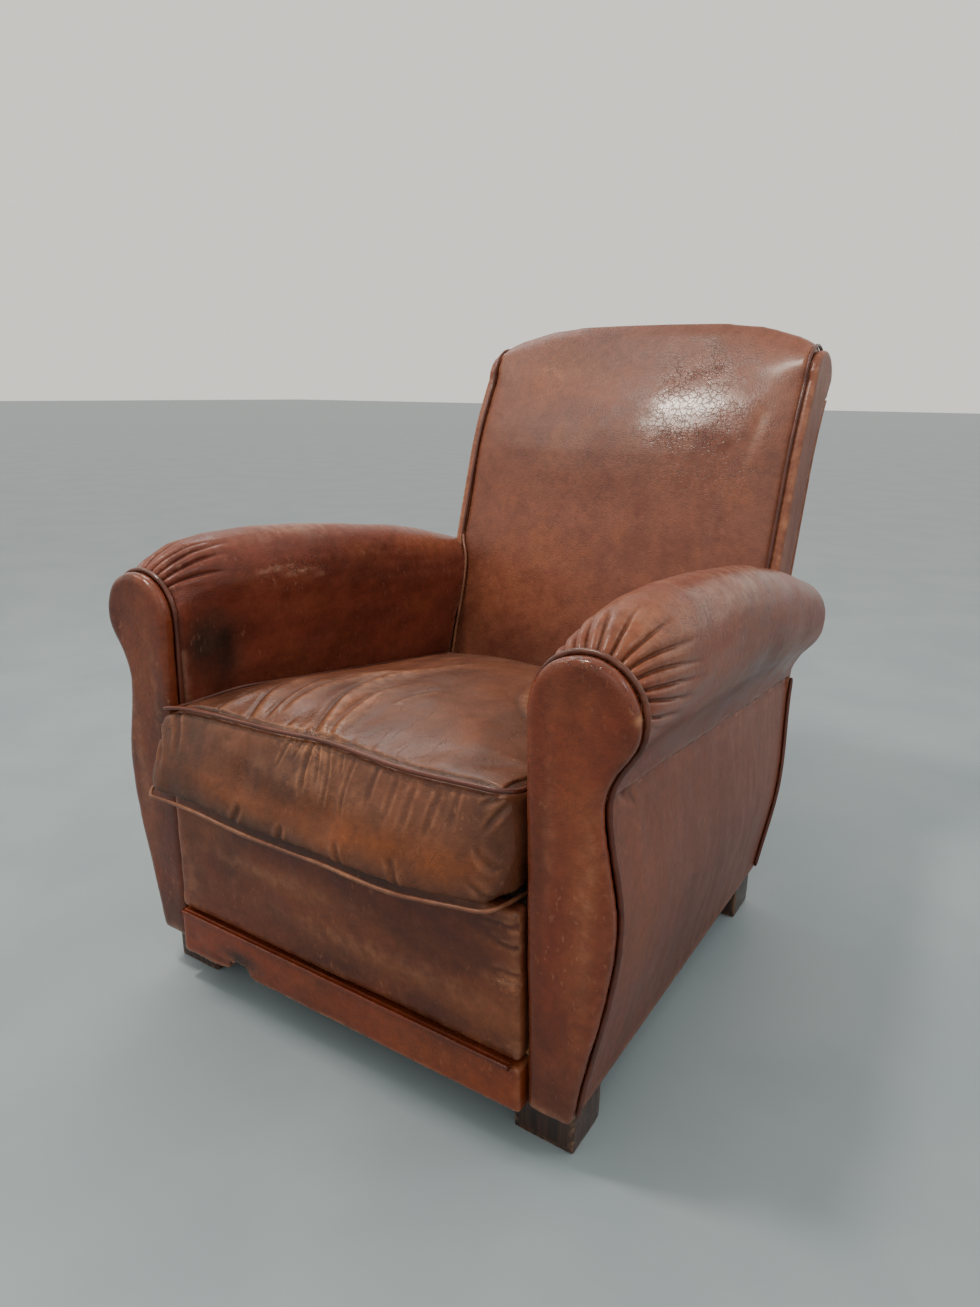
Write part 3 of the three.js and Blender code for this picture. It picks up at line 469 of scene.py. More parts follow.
class Tree:
    """A material's nodes."""

    def __init__(self, name: str) -> None:
        """Start an empty material with a shader and its output.

        Args:
            name: The material's name.
        """
        self.material = bpy.data.materials.new(name)
        self.material.use_nodes = True
        self.nodes = self.material.node_tree.nodes
        self.nodes.clear()
        self.shader = self.add("ShaderNodeBsdfPrincipled")
        self.add("ShaderNodeOutputMaterial", Surface=self.shader.outputs[0])
        self.place = self.add("ShaderNodeTexCoord").outputs["Object"]

    def add(self, kind: str, settings: dict | None = None, **inputs: object) -> bpy.types.Node:
        """Add a node.

        Args:
            kind: The node's type.
            settings: Its properties by name.
            inputs: Values or linked sockets by input name, with _ for a space, or iN for the Nth input.

        Returns:
            The new node.
        """
        node = self.nodes.new(kind)
        for key, value in (settings or {}).items():
            setattr(node, key, value)
        for key, value in inputs.items():
            numbered = key[0] == "i" and key[1:].isdigit()
            socket = node.inputs[int(key[1:]) if numbered else key.replace("_", " ")]
            if isinstance(value, bpy.types.NodeSocket):
                self.material.node_tree.links.new(value, socket)
            else:
                socket.default_value = value
        return node

    def math(self, operation: str, *values: object) -> bpy.types.NodeSocket:
        """Calculate with sockets or numbers, kept between 0 and 1 where the name ends in a star."""
        settings = {"operation": operation.rstrip("*"), "use_clamp": operation.endswith("*")}
        return self.add("ShaderNodeMath", settings, **{f"i{i}": v for i, v in enumerate(values)}).outputs[0]

    def mix(self, share: object, first: object, second: object, blend: str = "MIX") -> bpy.types.NodeSocket:
        """Mix two colours."""
        settings = {"data_type": "RGBA", "blend_type": blend}
        return self.add("ShaderNodeMix", settings, i0=share, i6=first, i7=second).outputs[2]

    def band(self, value: object, low: float, high: float,
             out: tuple[float, float] = (0.0, 1.0)) -> bpy.types.NodeSocket:
        """Map a value from low..high to an output range with soft ends.

        Args:
            value: The socket to map.
            low: Where the rise starts.
            high: Where it ends.
            out: The output at low and at high.

        Returns:
            The socket with the result.
        """
        settings = {"interpolation_type": "SMOOTHSTEP"}
        ends = {"i1": low, "i2": high, "i3": out[0], "i4": out[1]}
        return self.add("ShaderNodeMapRange", settings, i0=value, **ends).outputs[0]

    def cloud(self, size: float, detail: float = 3.0,
              stretch: tuple[float, float, float] = (1, 1, 1)) -> bpy.types.NodeSocket:
        """Give noise whose patches are size millimetres across, longer along stretched axes.

        Args:
            size: Width of a patch in millimetres.
            detail: How much finer noise is laid over it.
            stretch: How much longer it is along x, y and z.

        Returns:
            The socket, with values from 0 to 1.
        """
        place = self.place
        if stretch != (1, 1, 1):
            shrunk = tuple(1 / s for s in stretch)
            place = self.add("ShaderNodeMapping", i0=place, i3=shrunk).outputs[0]
        return self.add("ShaderNodeTexNoise", i0=place, Scale=1 / (size * MM), Detail=detail).outputs[0]

    def layer(self, name: str) -> bpy.types.NodeSocket:
        """Read one painted layer of the mesh."""
        return self.add("ShaderNodeAttribute", {"attribute_name": name}).outputs["Fac"]

    def relief(self, *heights: tuple[object, float]) -> None:
        """Raise the surface by patterns.

        Args:
            heights: Each pattern from 0 to 1 and its height in millimetres.
        """
        total: object = 0.0
        for pattern, height in heights:
            total = self.math("ADD", total, self.math("MULTIPLY", pattern, height * MM))
        bump = self.add("ShaderNodeBump", Strength=1.0, Distance=1.0, Height=total)
        self.material.node_tree.links.new(bump.outputs[0], self.shader.inputs["Normal"])

    def set(self, **inputs: object) -> bpy.types.Material:
        """Set or link inputs of the shader, and return the material.

        Args:
            inputs: Values or sockets by input name, with _ for a space.

        Returns:
            The finished material.
        """
        for key, value in inputs.items():
            socket = self.shader.inputs[key.replace("_", " ")]
            if isinstance(value, bpy.types.NodeSocket):
                self.material.node_tree.links.new(value, socket)
            else:
                socket.default_value = value
        return self.material


# Cells of the crazed finish on old wax are about 9 mm across, and bent by about 7 mm
CRAZE_CELL = 9 * MM
CRAZE_BEND = 7 * MM
CRACK_DEPTH = 0.4
# Real pores are about 1 mm apart, drawn coarser so that they show
PORE_PITCH = 2.6 * MM


@dataclass(frozen=True)
class WaxedLeather:
    """Waxed sheepskin, dyed brown and worn.

    Attributes:
        name: The material's name.
        hide: The usual colour.
        deep: The colour of its darker clouds.
        warm: The orange-brown that shows through.
        worn: The tan of rubbed places, also on paler ridges and scuffs that are partly painted highlights.
        grime: The grey-brown of dirt.
        crack: The colour in cracks.
        roughness: How matt it is.
        coat: How much wax gloss lies on it.
        grain: Height of the grain in millimetres.
        wave: Height of its soft unevenness in millimetres.
        wrinkle: Depth of its fine wrinkles in millimetres.
        fine: Height of its small unevenness in millimetres.
        scuffed: How much its small scuffs show.
        shine: How strongly it reflects.
        streak: Stretch of its clouds along x, y and z.
    """

    name: str = "waxed_sheepskin"
    hide: str = "#73412f"
    deep: str = "#613326"
    warm: str = "#814827"
    worn: str = "#a87252"
    grime: str = "#40271d"
    crack: str = "#32170f"
    roughness: float = 0.36
    coat: float = 0.15
    grain: float = 0.11
    wave: float = 0.4
    wrinkle: float = 0.12
    fine: float = 0.22
    scuffed: float = 0.2
    shine: float = 0.26
    streak: tuple[float, float, float] = (1, 1, 1)

    def make(self) -> bpy.types.Material:
        """Build the material: clouded dye, fine grain, crazing, rubbed ridges and waxy gloss.

        Returns:
            The material.
        """
        t = Tree(self.name)
        big = t.cloud(95, 3, self.streak)
        mid = t.cloud(26, 5, self.streak)
        small = t.cloud(6, 4)
        warm_cloud = t.cloud(60, 4, self.streak)
        tone, warm, wear, dirt, cracks = (t.layer(n) for n in ("tone", "warm", "wear", "dirt", "cracks"))
        clouds = t.math("ADD", t.math("MULTIPLY", big, 0.65), t.math("MULTIPLY", mid, 0.35))
        colour = t.mix(t.band(clouds, 0.34, 0.6), linear(self.deep), linear(self.hide))
        glow = t.math("ADD", warm, t.band(warm_cloud, 0.5, 0.78, (0, 0.35)))
        glow = t.math("MULTIPLY*", glow, t.band(mid, 0.3, 0.6, (0.55, 1.0)))
        colour = t.mix(glow, colour, linear(self.warm))
        # Dirt sits where hands and clothes chafe it, broken up by the grain; on top of the left arm some of
        # it is a painted grey sheen
        dirt_and_sheen = t.math("MULTIPLY*", dirt, t.band(mid, 0.32, 0.62, (0.5, 1.2)))
        colour = t.mix(dirt_and_sheen, colour, linear(self.grime))
        # Rubbed ridges show the tan hide in specks; the paler ridges are partly painted highlight
        specks = t.math("MULTIPLY*", wear, t.band(t.cloud(15, 5), 0.36, 0.64, (0.25, 0.95)))
        colour = t.mix(specks, colour, linear(self.worn))
        # Small pale scuffs, gathered in places
        places = t.band(t.cloud(55, 2), 0.45, 0.65)
        scuffs = t.math("MULTIPLY", t.band(t.cloud(4.5, 3, (1, 1, 2)), 0.6, 0.7), places)
        colour = t.mix(t.math("MULTIPLY", scuffs, self.scuffed), colour, linear(self.worn))
        # The tone layer lightens or darkens the colour: random tone, and painted shade in valleys, grooves,
        # creases, tucks and along the back's crest, and painted sheen on the arms' tops
        light = t.math("ADD", t.math("MULTIPLY_ADD", tone, 0.5, 1.0), t.band(small, 0.3, 0.7, (-0.07, 0.07)))
        light = t.math("ADD", light, t.band(t.cloud(14, 3), 0.35, 0.65, (-0.08, 0.06)))
        colour = t.add("ShaderNodeVectorMath", {"operation": "SCALE"}, i0=colour, i3=light).outputs[0]
        # Crazed finish: uneven cells with hairline cracks between them
        warp = t.add("ShaderNodeTexNoise", i0=t.place, Scale=1 / CRAZE_BEND, Detail=3.0).outputs["Color"]
        bending = {"operation": "MULTIPLY_ADD"}
        bent = t.add("ShaderNodeVectorMath", bending, i0=warp, i1=(CRAZE_BEND,) * 3, i2=t.place).outputs[0]
        edges = {"feature": "DISTANCE_TO_EDGE"}
        cells = t.add("ShaderNodeTexVoronoi", edges, i0=bent, Scale=1 / CRAZE_CELL)
        hairline = t.band(cells.outputs[0], 0.0, 0.09, (1.0, 0.0))
        mask = t.math("MULTIPLY*", cracks, t.band(t.cloud(22, 2), 0.36, 0.55))
        craze = t.math("MULTIPLY*", hairline, mask)
        colour = t.mix(t.math("MULTIPLY", craze, 0.75), colour, linear(self.crack))
        # Fine wrinkles, gathered in places about 60 mm across
        ridge = t.math("ABSOLUTE", t.math("SUBTRACT", t.cloud(24, 3, self.streak), 0.5))
        line = t.math("MULTIPLY", t.band(ridge, 0.0, 0.022, (1.0, 0.0)), t.band(t.cloud(60, 2), 0.46, 0.62))
        colour = t.mix(t.math("MULTIPLY", line, 0.15), colour, linear(self.crack))
        # Grain that breaks up the gloss
        pores = t.add("ShaderNodeTexVoronoi", i0=t.place, Scale=1 / PORE_PITCH, Randomness=1.0).outputs[0]
        crease = t.cloud(3.2, 2, (2.5, 2.5, 1))
        # Polished, crazed places have lost most of their grain
        calm = t.band(cracks, 0.1, 0.9, (1.0, 0.25))
        pores = t.math("MULTIPLY", t.band(pores, 0.0, 0.75, (1.0, 0.0)), calm)
        crease, small = t.math("MULTIPLY", crease, calm), t.math("MULTIPLY", small, calm)
        t.relief((pores, self.grain), (crease, self.fine), (small, self.fine), (mid, self.wave),
                 (craze, -CRACK_DEPTH), (line, -self.wrinkle))
        rough = t.math("ADD", t.band(mid, 0.3, 0.7, (self.roughness - 0.05, self.roughness + 0.06)),
                       t.math("MULTIPLY", dirt, 0.22))
        # Rubbed ridges are polished too
        rough = t.math("ADD", rough, t.band(wear, 0.1, 0.8, (0.0, -0.1)))
        rough = t.math("ADD*", rough, t.band(cracks, 0.1, 0.9, (0.0, -0.24)))
        return t.set(Base_Color=colour, Roughness=rough, IOR=1.5, Specular_IOR_Level=self.shine,
                     Coat_Weight=self.coat, Coat_Roughness=0.2)


# Pale and dark colour, roughness and polish of sawn beech
BEECH = ("#c49a6c", "#9d7448", 0.7, 0.0)


class Grain(Enum):
    """The way a board's grain runs."""

    ALONG_X = (14.0, 1.0, 1.0)
    ALONG_Y = (1.0, 14.0, 1.0)
    ALONG_Z = (1.0, 1.0, 14.0)


@dataclass(frozen=True)
class Wood:
    """Sawn or stained wood.

    Attributes:
        name: The material's name.
        pale: Colour of the early wood.
        dark: Colour of the late wood.
        roughness: How matt it is.
        coat: How much polish is left.
        grain: The way the grain runs.
    """

    name: str
    pale: str
    dark: str
    roughness: float
    coat: float
    grain: Grain

    def make(self) -> bpy.types.Material:
        """Build the material: long streaks of grain, short dark flecks, rubbed corners.

        Returns:
            The material.
        """
        t = Tree(self.name)
        streaks = t.cloud(7, 4, self.grain.value)
        flecks = t.cloud(1.6, 2, self.grain.value)
        colour = t.mix(t.band(streaks, 0.35, 0.65), linear(self.dark), linear(self.pale))
        colour = t.mix(t.band(flecks, 0.6, 0.72, (0.0, 0.35)), colour, linear(self.dark))
        rubbed = t.math("MULTIPLY*", t.layer("wear"), t.band(t.cloud(5), 0.4, 0.6))
        colour = t.mix(rubbed, colour, linear("#7d5c42"))
        t.relief((streaks, 0.25), (flecks, -0.2))
        rough = t.band(t.cloud(18), 0.3, 0.7, (self.roughness - 0.08, self.roughness + 0.08))
        return t.set(Base_Color=colour, Roughness=rough, IOR=1.53, Coat_Weight=self.coat)


@dataclass(frozen=True)
class Weave:
    """Plain woven cloth or webbing.

    Attributes:
        name: The material's name.
        thread: Colour of the threads.
        gap: Colour between them.
        pitch: Thread spacing in millimetres.
        height: Height of the threads in millimetres.
    """

    name: str
    thread: str
    gap: str
    pitch: float
    height: float

    def make(self) -> bpy.types.Material:
        """Build the material: over-and-under threads that look dull and fibrous.

        Returns:
            The material.
        """
        t = Tree(self.name)
        parts = t.add("ShaderNodeSeparateXYZ", i0=t.place).outputs
        turn = math.pi / (self.pitch * MM)
        waves = [t.math("SINE", t.math("MULTIPLY", parts[i], turn)) for i in range(3)]
        over = t.math("ABSOLUTE", t.math("MULTIPLY", waves[0], t.math("ADD", waves[1], waves[2])))
        fuzz = t.cloud(2.5, 3)
        colour = t.mix(t.band(over, 0.05, 0.5), linear(self.gap), linear(self.thread))
        colour = t.mix(t.band(t.cloud(40, 4), 0.4, 0.7, (0.0, 0.4)), colour, linear(self.gap))
        t.relief((over, self.height), (fuzz, 0.2))
        return t.set(Base_Color=colour, Roughness=0.92, Sheen_Weight=0.2)


def spring_steel() -> bpy.types.Material:
    """Make drawn spring steel, dull grey with brown bloom of rust.

    Returns:
        The material.
    """
    t = Tree("drawn_spring_steel")
    rust = t.band(t.cloud(9, 4), 0.5, 0.68)
    colour = t.mix(rust, linear("#8d8b87"), linear("#6b432c"))
    t.relief((t.cloud(1.5), 0.05), (rust, 0.05))
    return t.set(Base_Color=colour, Metallic=t.band(rust, 0.0, 1.0, (0.95, 0.2)),
                 Roughness=t.band(rust, 0.0, 1.0, (0.38, 0.85)))


def painted_floor() -> bpy.types.Material:
    """Make a pale grey-blue painted floor, faintly clouded and matt.

    Returns:
        The material.
    """
    t = Tree("painted_floor")
    colour = t.mix(t.band(t.cloud(260, 4), 0.35, 0.65), linear("#869399"), linear("#8d999e"))
    t.relief((t.cloud(3), 0.03))
    return t.set(Base_Color=colour, Roughness=0.5)


def made(recipe: WaxedLeather | Wood | Weave) -> bpy.types.Material:
    """Have a finish made when the set of finishes is."""
    return field(default_factory=recipe.make)


@dataclass
class Finishes:
    """Every finish of the chair, made once."""

    cover: bpy.types.Material = made(WaxedLeather(
        "waxed_sheepskin_cover", shine=0.32, roughness=0.43, grain=0.15, wave=0.2, fine=0.16, scuffed=0.1))
    arm: bpy.types.Material = made(WaxedLeather(
        "waxed_sheepskin_arm", shine=0.22, coat=0.1, hide="#6e3425", deep="#53241a", worn="#b38a74",
        streak=(1, 2.2, 1)))
    side: bpy.types.Material = made(WaxedLeather(
        "waxed_sheepskin_side", hide="#6f3c2c", deep="#663527", warm="#7d4527", grime="#51352c",
        roughness=0.44, coat=0.1, wave=0.1, wrinkle=0.08, streak=(1, 0.8, 2.4)))
    seat: bpy.types.Material = made(WaxedLeather(
        "waxed_sheepskin_seat", hide="#643a27", deep="#4d2d20", warm="#7d4220", grime="#40322b",
        roughness=0.42, coat=0.15, wrinkle=0.3, streak=(1.0, 2.2, 1.6)))
    facing: bpy.types.Material = made(WaxedLeather(
        "waxed_sheepskin_facing", hide="#70301b", deep="#592515", warm="#83482a", roughness=0.33,
        scuffed=0.35, coat=0.25, streak=(1, 1, 1.8)))
    apron: bpy.types.Material = made(WaxedLeather(
        "waxed_sheepskin_apron", hide="#66301e", deep="#482216", warm="#7a4628", grime="#3a261d",
        roughness=0.42, streak=(2.2, 1, 1)))
    strip: bpy.types.Material = made(WaxedLeather(
        "waxed_sheepskin_strip", hide="#783118", deep="#5b2513", warm="#86461e", streak=(2.2, 1, 1)))
    piping: bpy.types.Material = made(WaxedLeather(
        "waxed_leather_piping", hide="#55291d", deep="#3a1a13", warm="#6b3624", worn="#87563f",
        roughness=0.34, coat=0.3, grain=0.05))
    tan_piping: bpy.types.Material = made(WaxedLeather(
        "rubbed_tan_piping", hide="#7d4f39", deep="#5d3325", warm="#99683f", worn="#b98a68",
        roughness=0.4, grain=0.05))
    feet: bpy.types.Material = made(Wood("stained_beech", "#3c2217", "#1d0f0a", 0.45, 0.15, Grain.ALONG_Z))
    beech_x: bpy.types.Material = made(Wood("sawn_beech_across", *BEECH, Grain.ALONG_X))
    beech_y: bpy.types.Material = made(Wood("sawn_beech_lengthwise", *BEECH, Grain.ALONG_Y))
    beech_z: bpy.types.Material = made(Wood("sawn_beech_upright", *BEECH, Grain.ALONG_Z))
    jute: bpy.types.Material = made(Weave("jute_webbing", "#a98a5c", "#5e4729", 2.4, 0.5))
    hessian: bpy.types.Material = made(Weave("jute_hessian", "#a58a5e", "#5b482d", 1.8, 0.35))
    calico: bpy.types.Material = made(Weave("brown_cotton_deck", "#4b382b", "#2b1f18", 1.5, 0.2))
    black: bpy.types.Material = made(Weave("black_cotton_lining", "#23211f", "#0d0c0b", 1.5, 0.15))
    steel: bpy.types.Material = field(default_factory=spring_steel)


# Sub-assemblies


@dataclass
class SeatCushion:
    """The loose seat cushion with its two rows of piping.

    Attributes:
        slope: How far its rear is lower, in degrees.
        half_width: Half its width at the piping, in millimetres.
        half_depth: Half its depth.
        half_height: Half the height of its border.
        voxel: Size of the surface's squares before the simulation.
        pressure: Air pressure of the simulated filling.
        frames: Length of the simulation.
        cap: How far the simulation may move the leather, in millimetres.
        hem: How far from the sides a place still belongs to a piped seam.
        groove: How deep the leather is drawn in beside the piping.
        sink: How far the filling has sunk under the sitter.
        fine_face: Depth of the finer mesh behind the front face.
        fine_top: Where along the cushion the finer mesh of the top ends.
        fine_above: The height from which it counts as the top.
        folds: Folds on top, as points across and along the cushion, with their height and width.
        creases: Creases in the front face, as points across and up it, with depth and width.
    """

    slope: float = 8.4
    half_width: float = 238.0
    half_depth: float = 293.0
    half_height: float = 54.0
    voxel: float = 7.2
    pressure: float = 4.0
    frames: int = 20
    cap: float = 24.0
    hem: float = 16.0
    groove: float = 2.4
    sink: float = 5.0
    fine_face: float = 30.0
    fine_top: float = -140.0
    fine_above: float = 20.0
    folds: tuple = (
        (((-95, -285), (-127, -229), (-142, -171), (-143, -120)), 3.0, 7),
        (((-82, -272), (-104, -209), (-123, -129)), 2.4, 6),
        (((24, -300), (6, -285), (-28, -232), (-57, -144), (-64, -72), (-54, 18), (-30, 90)), 4.6, 9),
        (((-70, -270), (-88, -211), (-96, -147), (-90, -81), (-78, -17), (-56, 49)), 3.0, 8),
        (((30, -300), (-7, -226), (-16, -160), (-18, -90)), 3.4, 8),
        (((-150, -300), (-154, -266), (-147, -210)), 2.2, 6),
        (((21, -189), (21, -146), (29, -100)), 1.6, 6),
        (((-6, -300), (-29, -255)), 2.6, 5),
        (((17, -300), (-2, -262)), 2.4, 5),
        (((55, -300), (40, -262)), 2.4, 5),
        (((82, -300), (66, -258)), 2.0, 5),
        (((117, -300), (107, -262)), 2.0, 5),
        (((-40, -298), (-56, -250)), 2.0, 5),
        (((-112, -298), (-128, -262)), 1.8, 5),
        (((170, -120), (110, -60), (70, 40)), 1.6, 9),
        (((150, 20), (90, 90), (60, 170)), 1.8, 9),
    )
    creases: tuple = (
        (((-2, 46), (-5, 24), (1, -4)), 2.2, 4),
        (((-35, 46), (-44, 14)), 1.1, 3),
        (((-17, 46), (-23, 26)), 1.3, 2.6),
        (((22, 44), (30, 16), (27, -10)), 1.5, 3),
        (((40, 46), (44, 24)), 1.2, 2.8),
        (((58, 44), (52, 2), (58, -16)), 1.3, 3.2),
        (((7, 44), (16, 6)), 1.6, 3.5),
        (((88, 46), (85, 4)), 1.4, 4),
        (((114, 40), (110, 0)), 1.5, 4),
        (((136, 38), (130, -6)), 1.6, 4.5),
        (((164, 38), (157, -6)), 1.6, 4.5),
        (((184, 42), (183, 6)), 1.3, 4),
        (((-150, 10), (-60, -8), (40, -12), (140, -2)), 1.5, 12),
        (((236, -50), (214, -34), (204, -24)), 1.3, 4),
        (((232, -20), (216, -8), (210, 4)), 1.0, 4),
        (((238, 46), (222, 26), (216, 10)), 1.9, 4),
        (((226, 50), (208, 32)), 1.4, 4),
        (((-205, 50), (-190, 22), (-186, -8)), 1.8, 5),
        (((-232, 30), (-215, 6), (-212, -24)), 2.0, 5),
        (((-100, -50), (-84, -22)), 1.8, 5),
        (((-30, -50), (-22, -28)), 1.8, 5),
        (((60, -50), (52, -24)), 1.8, 5),
        (((130, -50), (122, -20)), 1.8, 5),
    )

    def __post_init__(self) -> None:
        """Find the cushion's middle and its own axes."""
        low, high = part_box("seat_cushion")
        tilt = math.radians(self.slope)
        self.middle = np.array((low + high) / 2)
        self.axes = np.array([
            [1, 0, 0], [0, math.cos(tilt), -math.sin(tilt)], [0, math.sin(tilt), math.cos(tilt)]])

    def own(self, points: np.ndarray) -> np.ndarray:
        """Turn places into the cushion's own millimetres: across, back and up."""
        return (points - self.middle) @ self.axes.T / MM

    def placed(self, own: np.ndarray) -> np.ndarray:
        """Turn the cushion's own millimetres back into places."""
        return own * MM @ self.axes + self.middle

    def at_piping(self, own: np.ndarray, width: float) -> np.ndarray:
        """Measure how near places of the cushion are to its piped seams.

        Args:
            own: The cushion's own millimetres.
            width: How far from a seam the value fades, in millimetres.

        Returns:
            1 on a seam, and 0 away from both.
        """
        by_side = np.abs(own[:, 0]) > self.half_width - self.hem
        outer = by_side | (np.abs(own[:, 1]) > self.half_depth - self.hem)
        return bell(np.abs(own[:, 2]) - self.half_height, width) * outer

    def slumped(self, points: np.ndarray) -> np.ndarray:
        """Let the old cushion lean, so that leather and piping move together.

        Args:
            points: Places on the fresh cushion.

        Returns:
            The places after years of use.
        """
        own = self.own(points)
        x, y, z = own.T
        u, w = x / self.half_width, z / self.half_height
        front = ease(-0.55, -1.0, y / self.half_depth)
        low = ease(0.9, -1.0, w)
        across = np.interp(u, [-1, -0.62, 0, 0.55, 1], [0.85, 0.9, 1.25, 1.0, 0.35])
        # The front leans out towards its lower edge, most in the middle, and hangs down over the apron
        y = y - front * low * (6 + 9 * across)
        overhang = ease(-0.412, -0.432, points[:, 1]) * low
        z = z - overhang * 11 * across
        # The left corner has sunk
        rise = np.interp(u, [-1, -0.8, -0.4, 0, 1], [-13, -5, 1, 3, 3])
        z = z + rise * front * ease(-0.6, 0.8, w)
        # The front's seams wave up and down, and in and out
        z = z + front * 1.6 * np.sin(x / 31 + 0.8) * (0.4 + 0.6 * np.abs(w))
        y = y + front * 1.8 * np.sin(x / 44 + 2.0)
        x = x - 3.5 * front * (1 - 0.5 * np.abs(u))
        # In front of the arm's facing the lower left corner spreads out
        clear = ease(-0.404, -0.422, points[:, 1])
        x = x - 15 * clear * ease(-0.5, -1.0, u)
        y = y - 5 * clear * ease(-0.8, -1.0, u)
        return self.placed(np.stack([x, y, z], axis=1))

    def inflate(self, skin: Skin) -> None:
        """Blow the cover up as cloth between its piped seams, and keep the result within the cap.

        Args:
            skin: The cover.
        """
        scene = bpy.context.scene
        start = skin.points
        piped = self.at_piping(self.own(start), 7)
        pins = skin.piece.vertex_groups.new(name="piped")
        for index in np.nonzero(piped > 0.3)[0]:
            pins.add([int(index)], float(min(1.0, piped[index] * 1.4)), "REPLACE")
        cloth = skin.piece.modifiers.new("filling", "CLOTH")
        settings = cloth.settings
        settings.quality = 5
        settings.mass = 0.35
        settings.tension_stiffness = settings.compression_stiffness = settings.shear_stiffness = 12
        settings.bending_stiffness = 2.5
        settings.use_pressure = True
        settings.uniform_pressure_force = self.pressure
        settings.effector_weights.gravity = 0
        settings.vertex_group_mass = "piped"
        settings.shrink_min = -0.012
        cloth.collision_settings.use_collision = False
        cloth.collision_settings.use_self_collision = False
        cloth.point_cache.frame_start, cloth.point_cache.frame_end = 1, self.frames
        for number in range(1, self.frames + 1):
            scene.frame_set(number)
        skin.bake(cloth)
        scene.frame_set(1)
        move = skin.points - start
        length = np.maximum(np.linalg.norm(move, axis=1), 1e-9)
        skin.points = start + move * np.minimum(1, self.cap * MM / length)[:, None]
        skin.piece.vertex_groups.clear()

    def creased(self, points: np.ndarray) -> np.ndarray:
        """Say which places need a finer mesh: the front face and the front of the top."""
        _, y, z = self.own(points).T
        return (y < -self.half_depth + self.fine_face) | ((y < self.fine_top) & (z > self.fine_above))

    def folded(self, own: np.ndarray) -> tuple[np.ndarray, np.ndarray]:
        """Work out the folds of the top and the creases of the front.

        Args:
            own: The cushion's own millimetres.

        Returns:
            Movement along the surface's normal for the top and for the front face.
        """
        top, face = np.zeros(len(own)), np.zeros(len(own))
        for line, height, width in self.folds:
            off, share = beside(own[:, :2], rounded(line))
            inside = ease(0, 0.12, share) * ease(1, 0.6, share) if len(line) > 2 else ease(1, 0.2, share)
            # Each fold leans over: a slow rise on one side, a short drop into a valley on the other
            slope = np.where(off > 0, 0.6, 1.5) * width
            top += height * inside * (bell(off, slope) - 0.6 * bell(off - 1.25 * width, 0.5 * width))
        for line, depth, width in self.creases:
            off, share = beside(own[:, ::2], rounded(line))
            inside = ease(-0.05, 0.1, share) * ease(1.02, 0.6, share)
            narrow = width if width > 6 else 0.7 * width
            face -= depth * inside * (bell(off, narrow) - 0.6 * bell(np.abs(off) - 1.9 * narrow, narrow))
        return top, face

    def build(self, finish: Finishes) -> None:
        """Make the cushion and its piping.

        Args:
            finish: The set of finishes.
        """
        skin = Skin("seat_cushion_cover", "seat_cushion")
        skin.remesh(self.voxel)
        skin.soften(3)
        self.inflate(skin)
        skin.soften(4)
        skin.subdivide(1)
        skin.refine(self.creased)
        own = self.own(skin.points)
        normals = skin.normals @ self.axes.T
        top, face = self.folded(own)
        upward, forward = ease(0.35, 0.85, normals[:, 2]), ease(0.3, 0.8, -normals[:, 1])
        pucker = noise(skin.points * np.array([1, 1, 0.25]), 0.017, 3)
        seam = bell(np.abs(own[:, 2]) - self.half_height, 15) * ease(0.95, 0.6, np.abs(normals[:, 2]))
        dip = self.sink * bell(own[:, 0] + 10, 120) * bell(own[:, 1] + 40, 150)
        undulate = 1.3 * noise(skin.points, 0.07, 11) + 0.6 * noise(skin.points, 0.03, 12)
        left_seam = bell(own[:, 0] + 226, 2.5) * forward
        beaded = self.at_piping(own, 7)
        folds = top * upward + face * forward
        loose = folds + 1.4 * seam * pucker - dip * upward + undulate - 1.6 * left_seam
        skin.push(loose * (1 - beaded) - self.groove * beaded)
        skin.points = self.slumped(skin.points)
        points = skin.points
        room = (self.half_width + 3.2) * MM
        free = 30 * MM * ease(-0.408, -0.42, points[:, 1])
        points[:, 0] = np.clip(points[:, 0], -room - free, room)
        skin.points = points
        self.colour(skin, folds - 1.2 * left_seam)
        # Painted shade in the groove beside the piping
        skin.add("tone", -0.7 * self.at_piping(own, 4.5))
        skin.done(finish.seat)
        kinds = (("top", finish.piping, 0.3, 0.0), ("bottom", finish.tan_piping, 0.8, 0.35))
        for edge, material, shrink, shade in kinds:
            cord = Skin(f"cushion_piping_{edge}", f"cushion_welt_{edge}")
            cord.subdivide(2)
            cord.push(np.full(len(cord.points), -shrink))
            cord.points = self.slumped(cord.points)
            cord.push(0.25 * noise(cord.points, 0.008, 4))
            cord.weathered(wear=[Patch((0, -430, 330), (240, 60, 90), 0.25)], rub_and_shading=0.2)
            cord.add("tone", np.full(len(cord.points), -shade))
            cord.done(material)

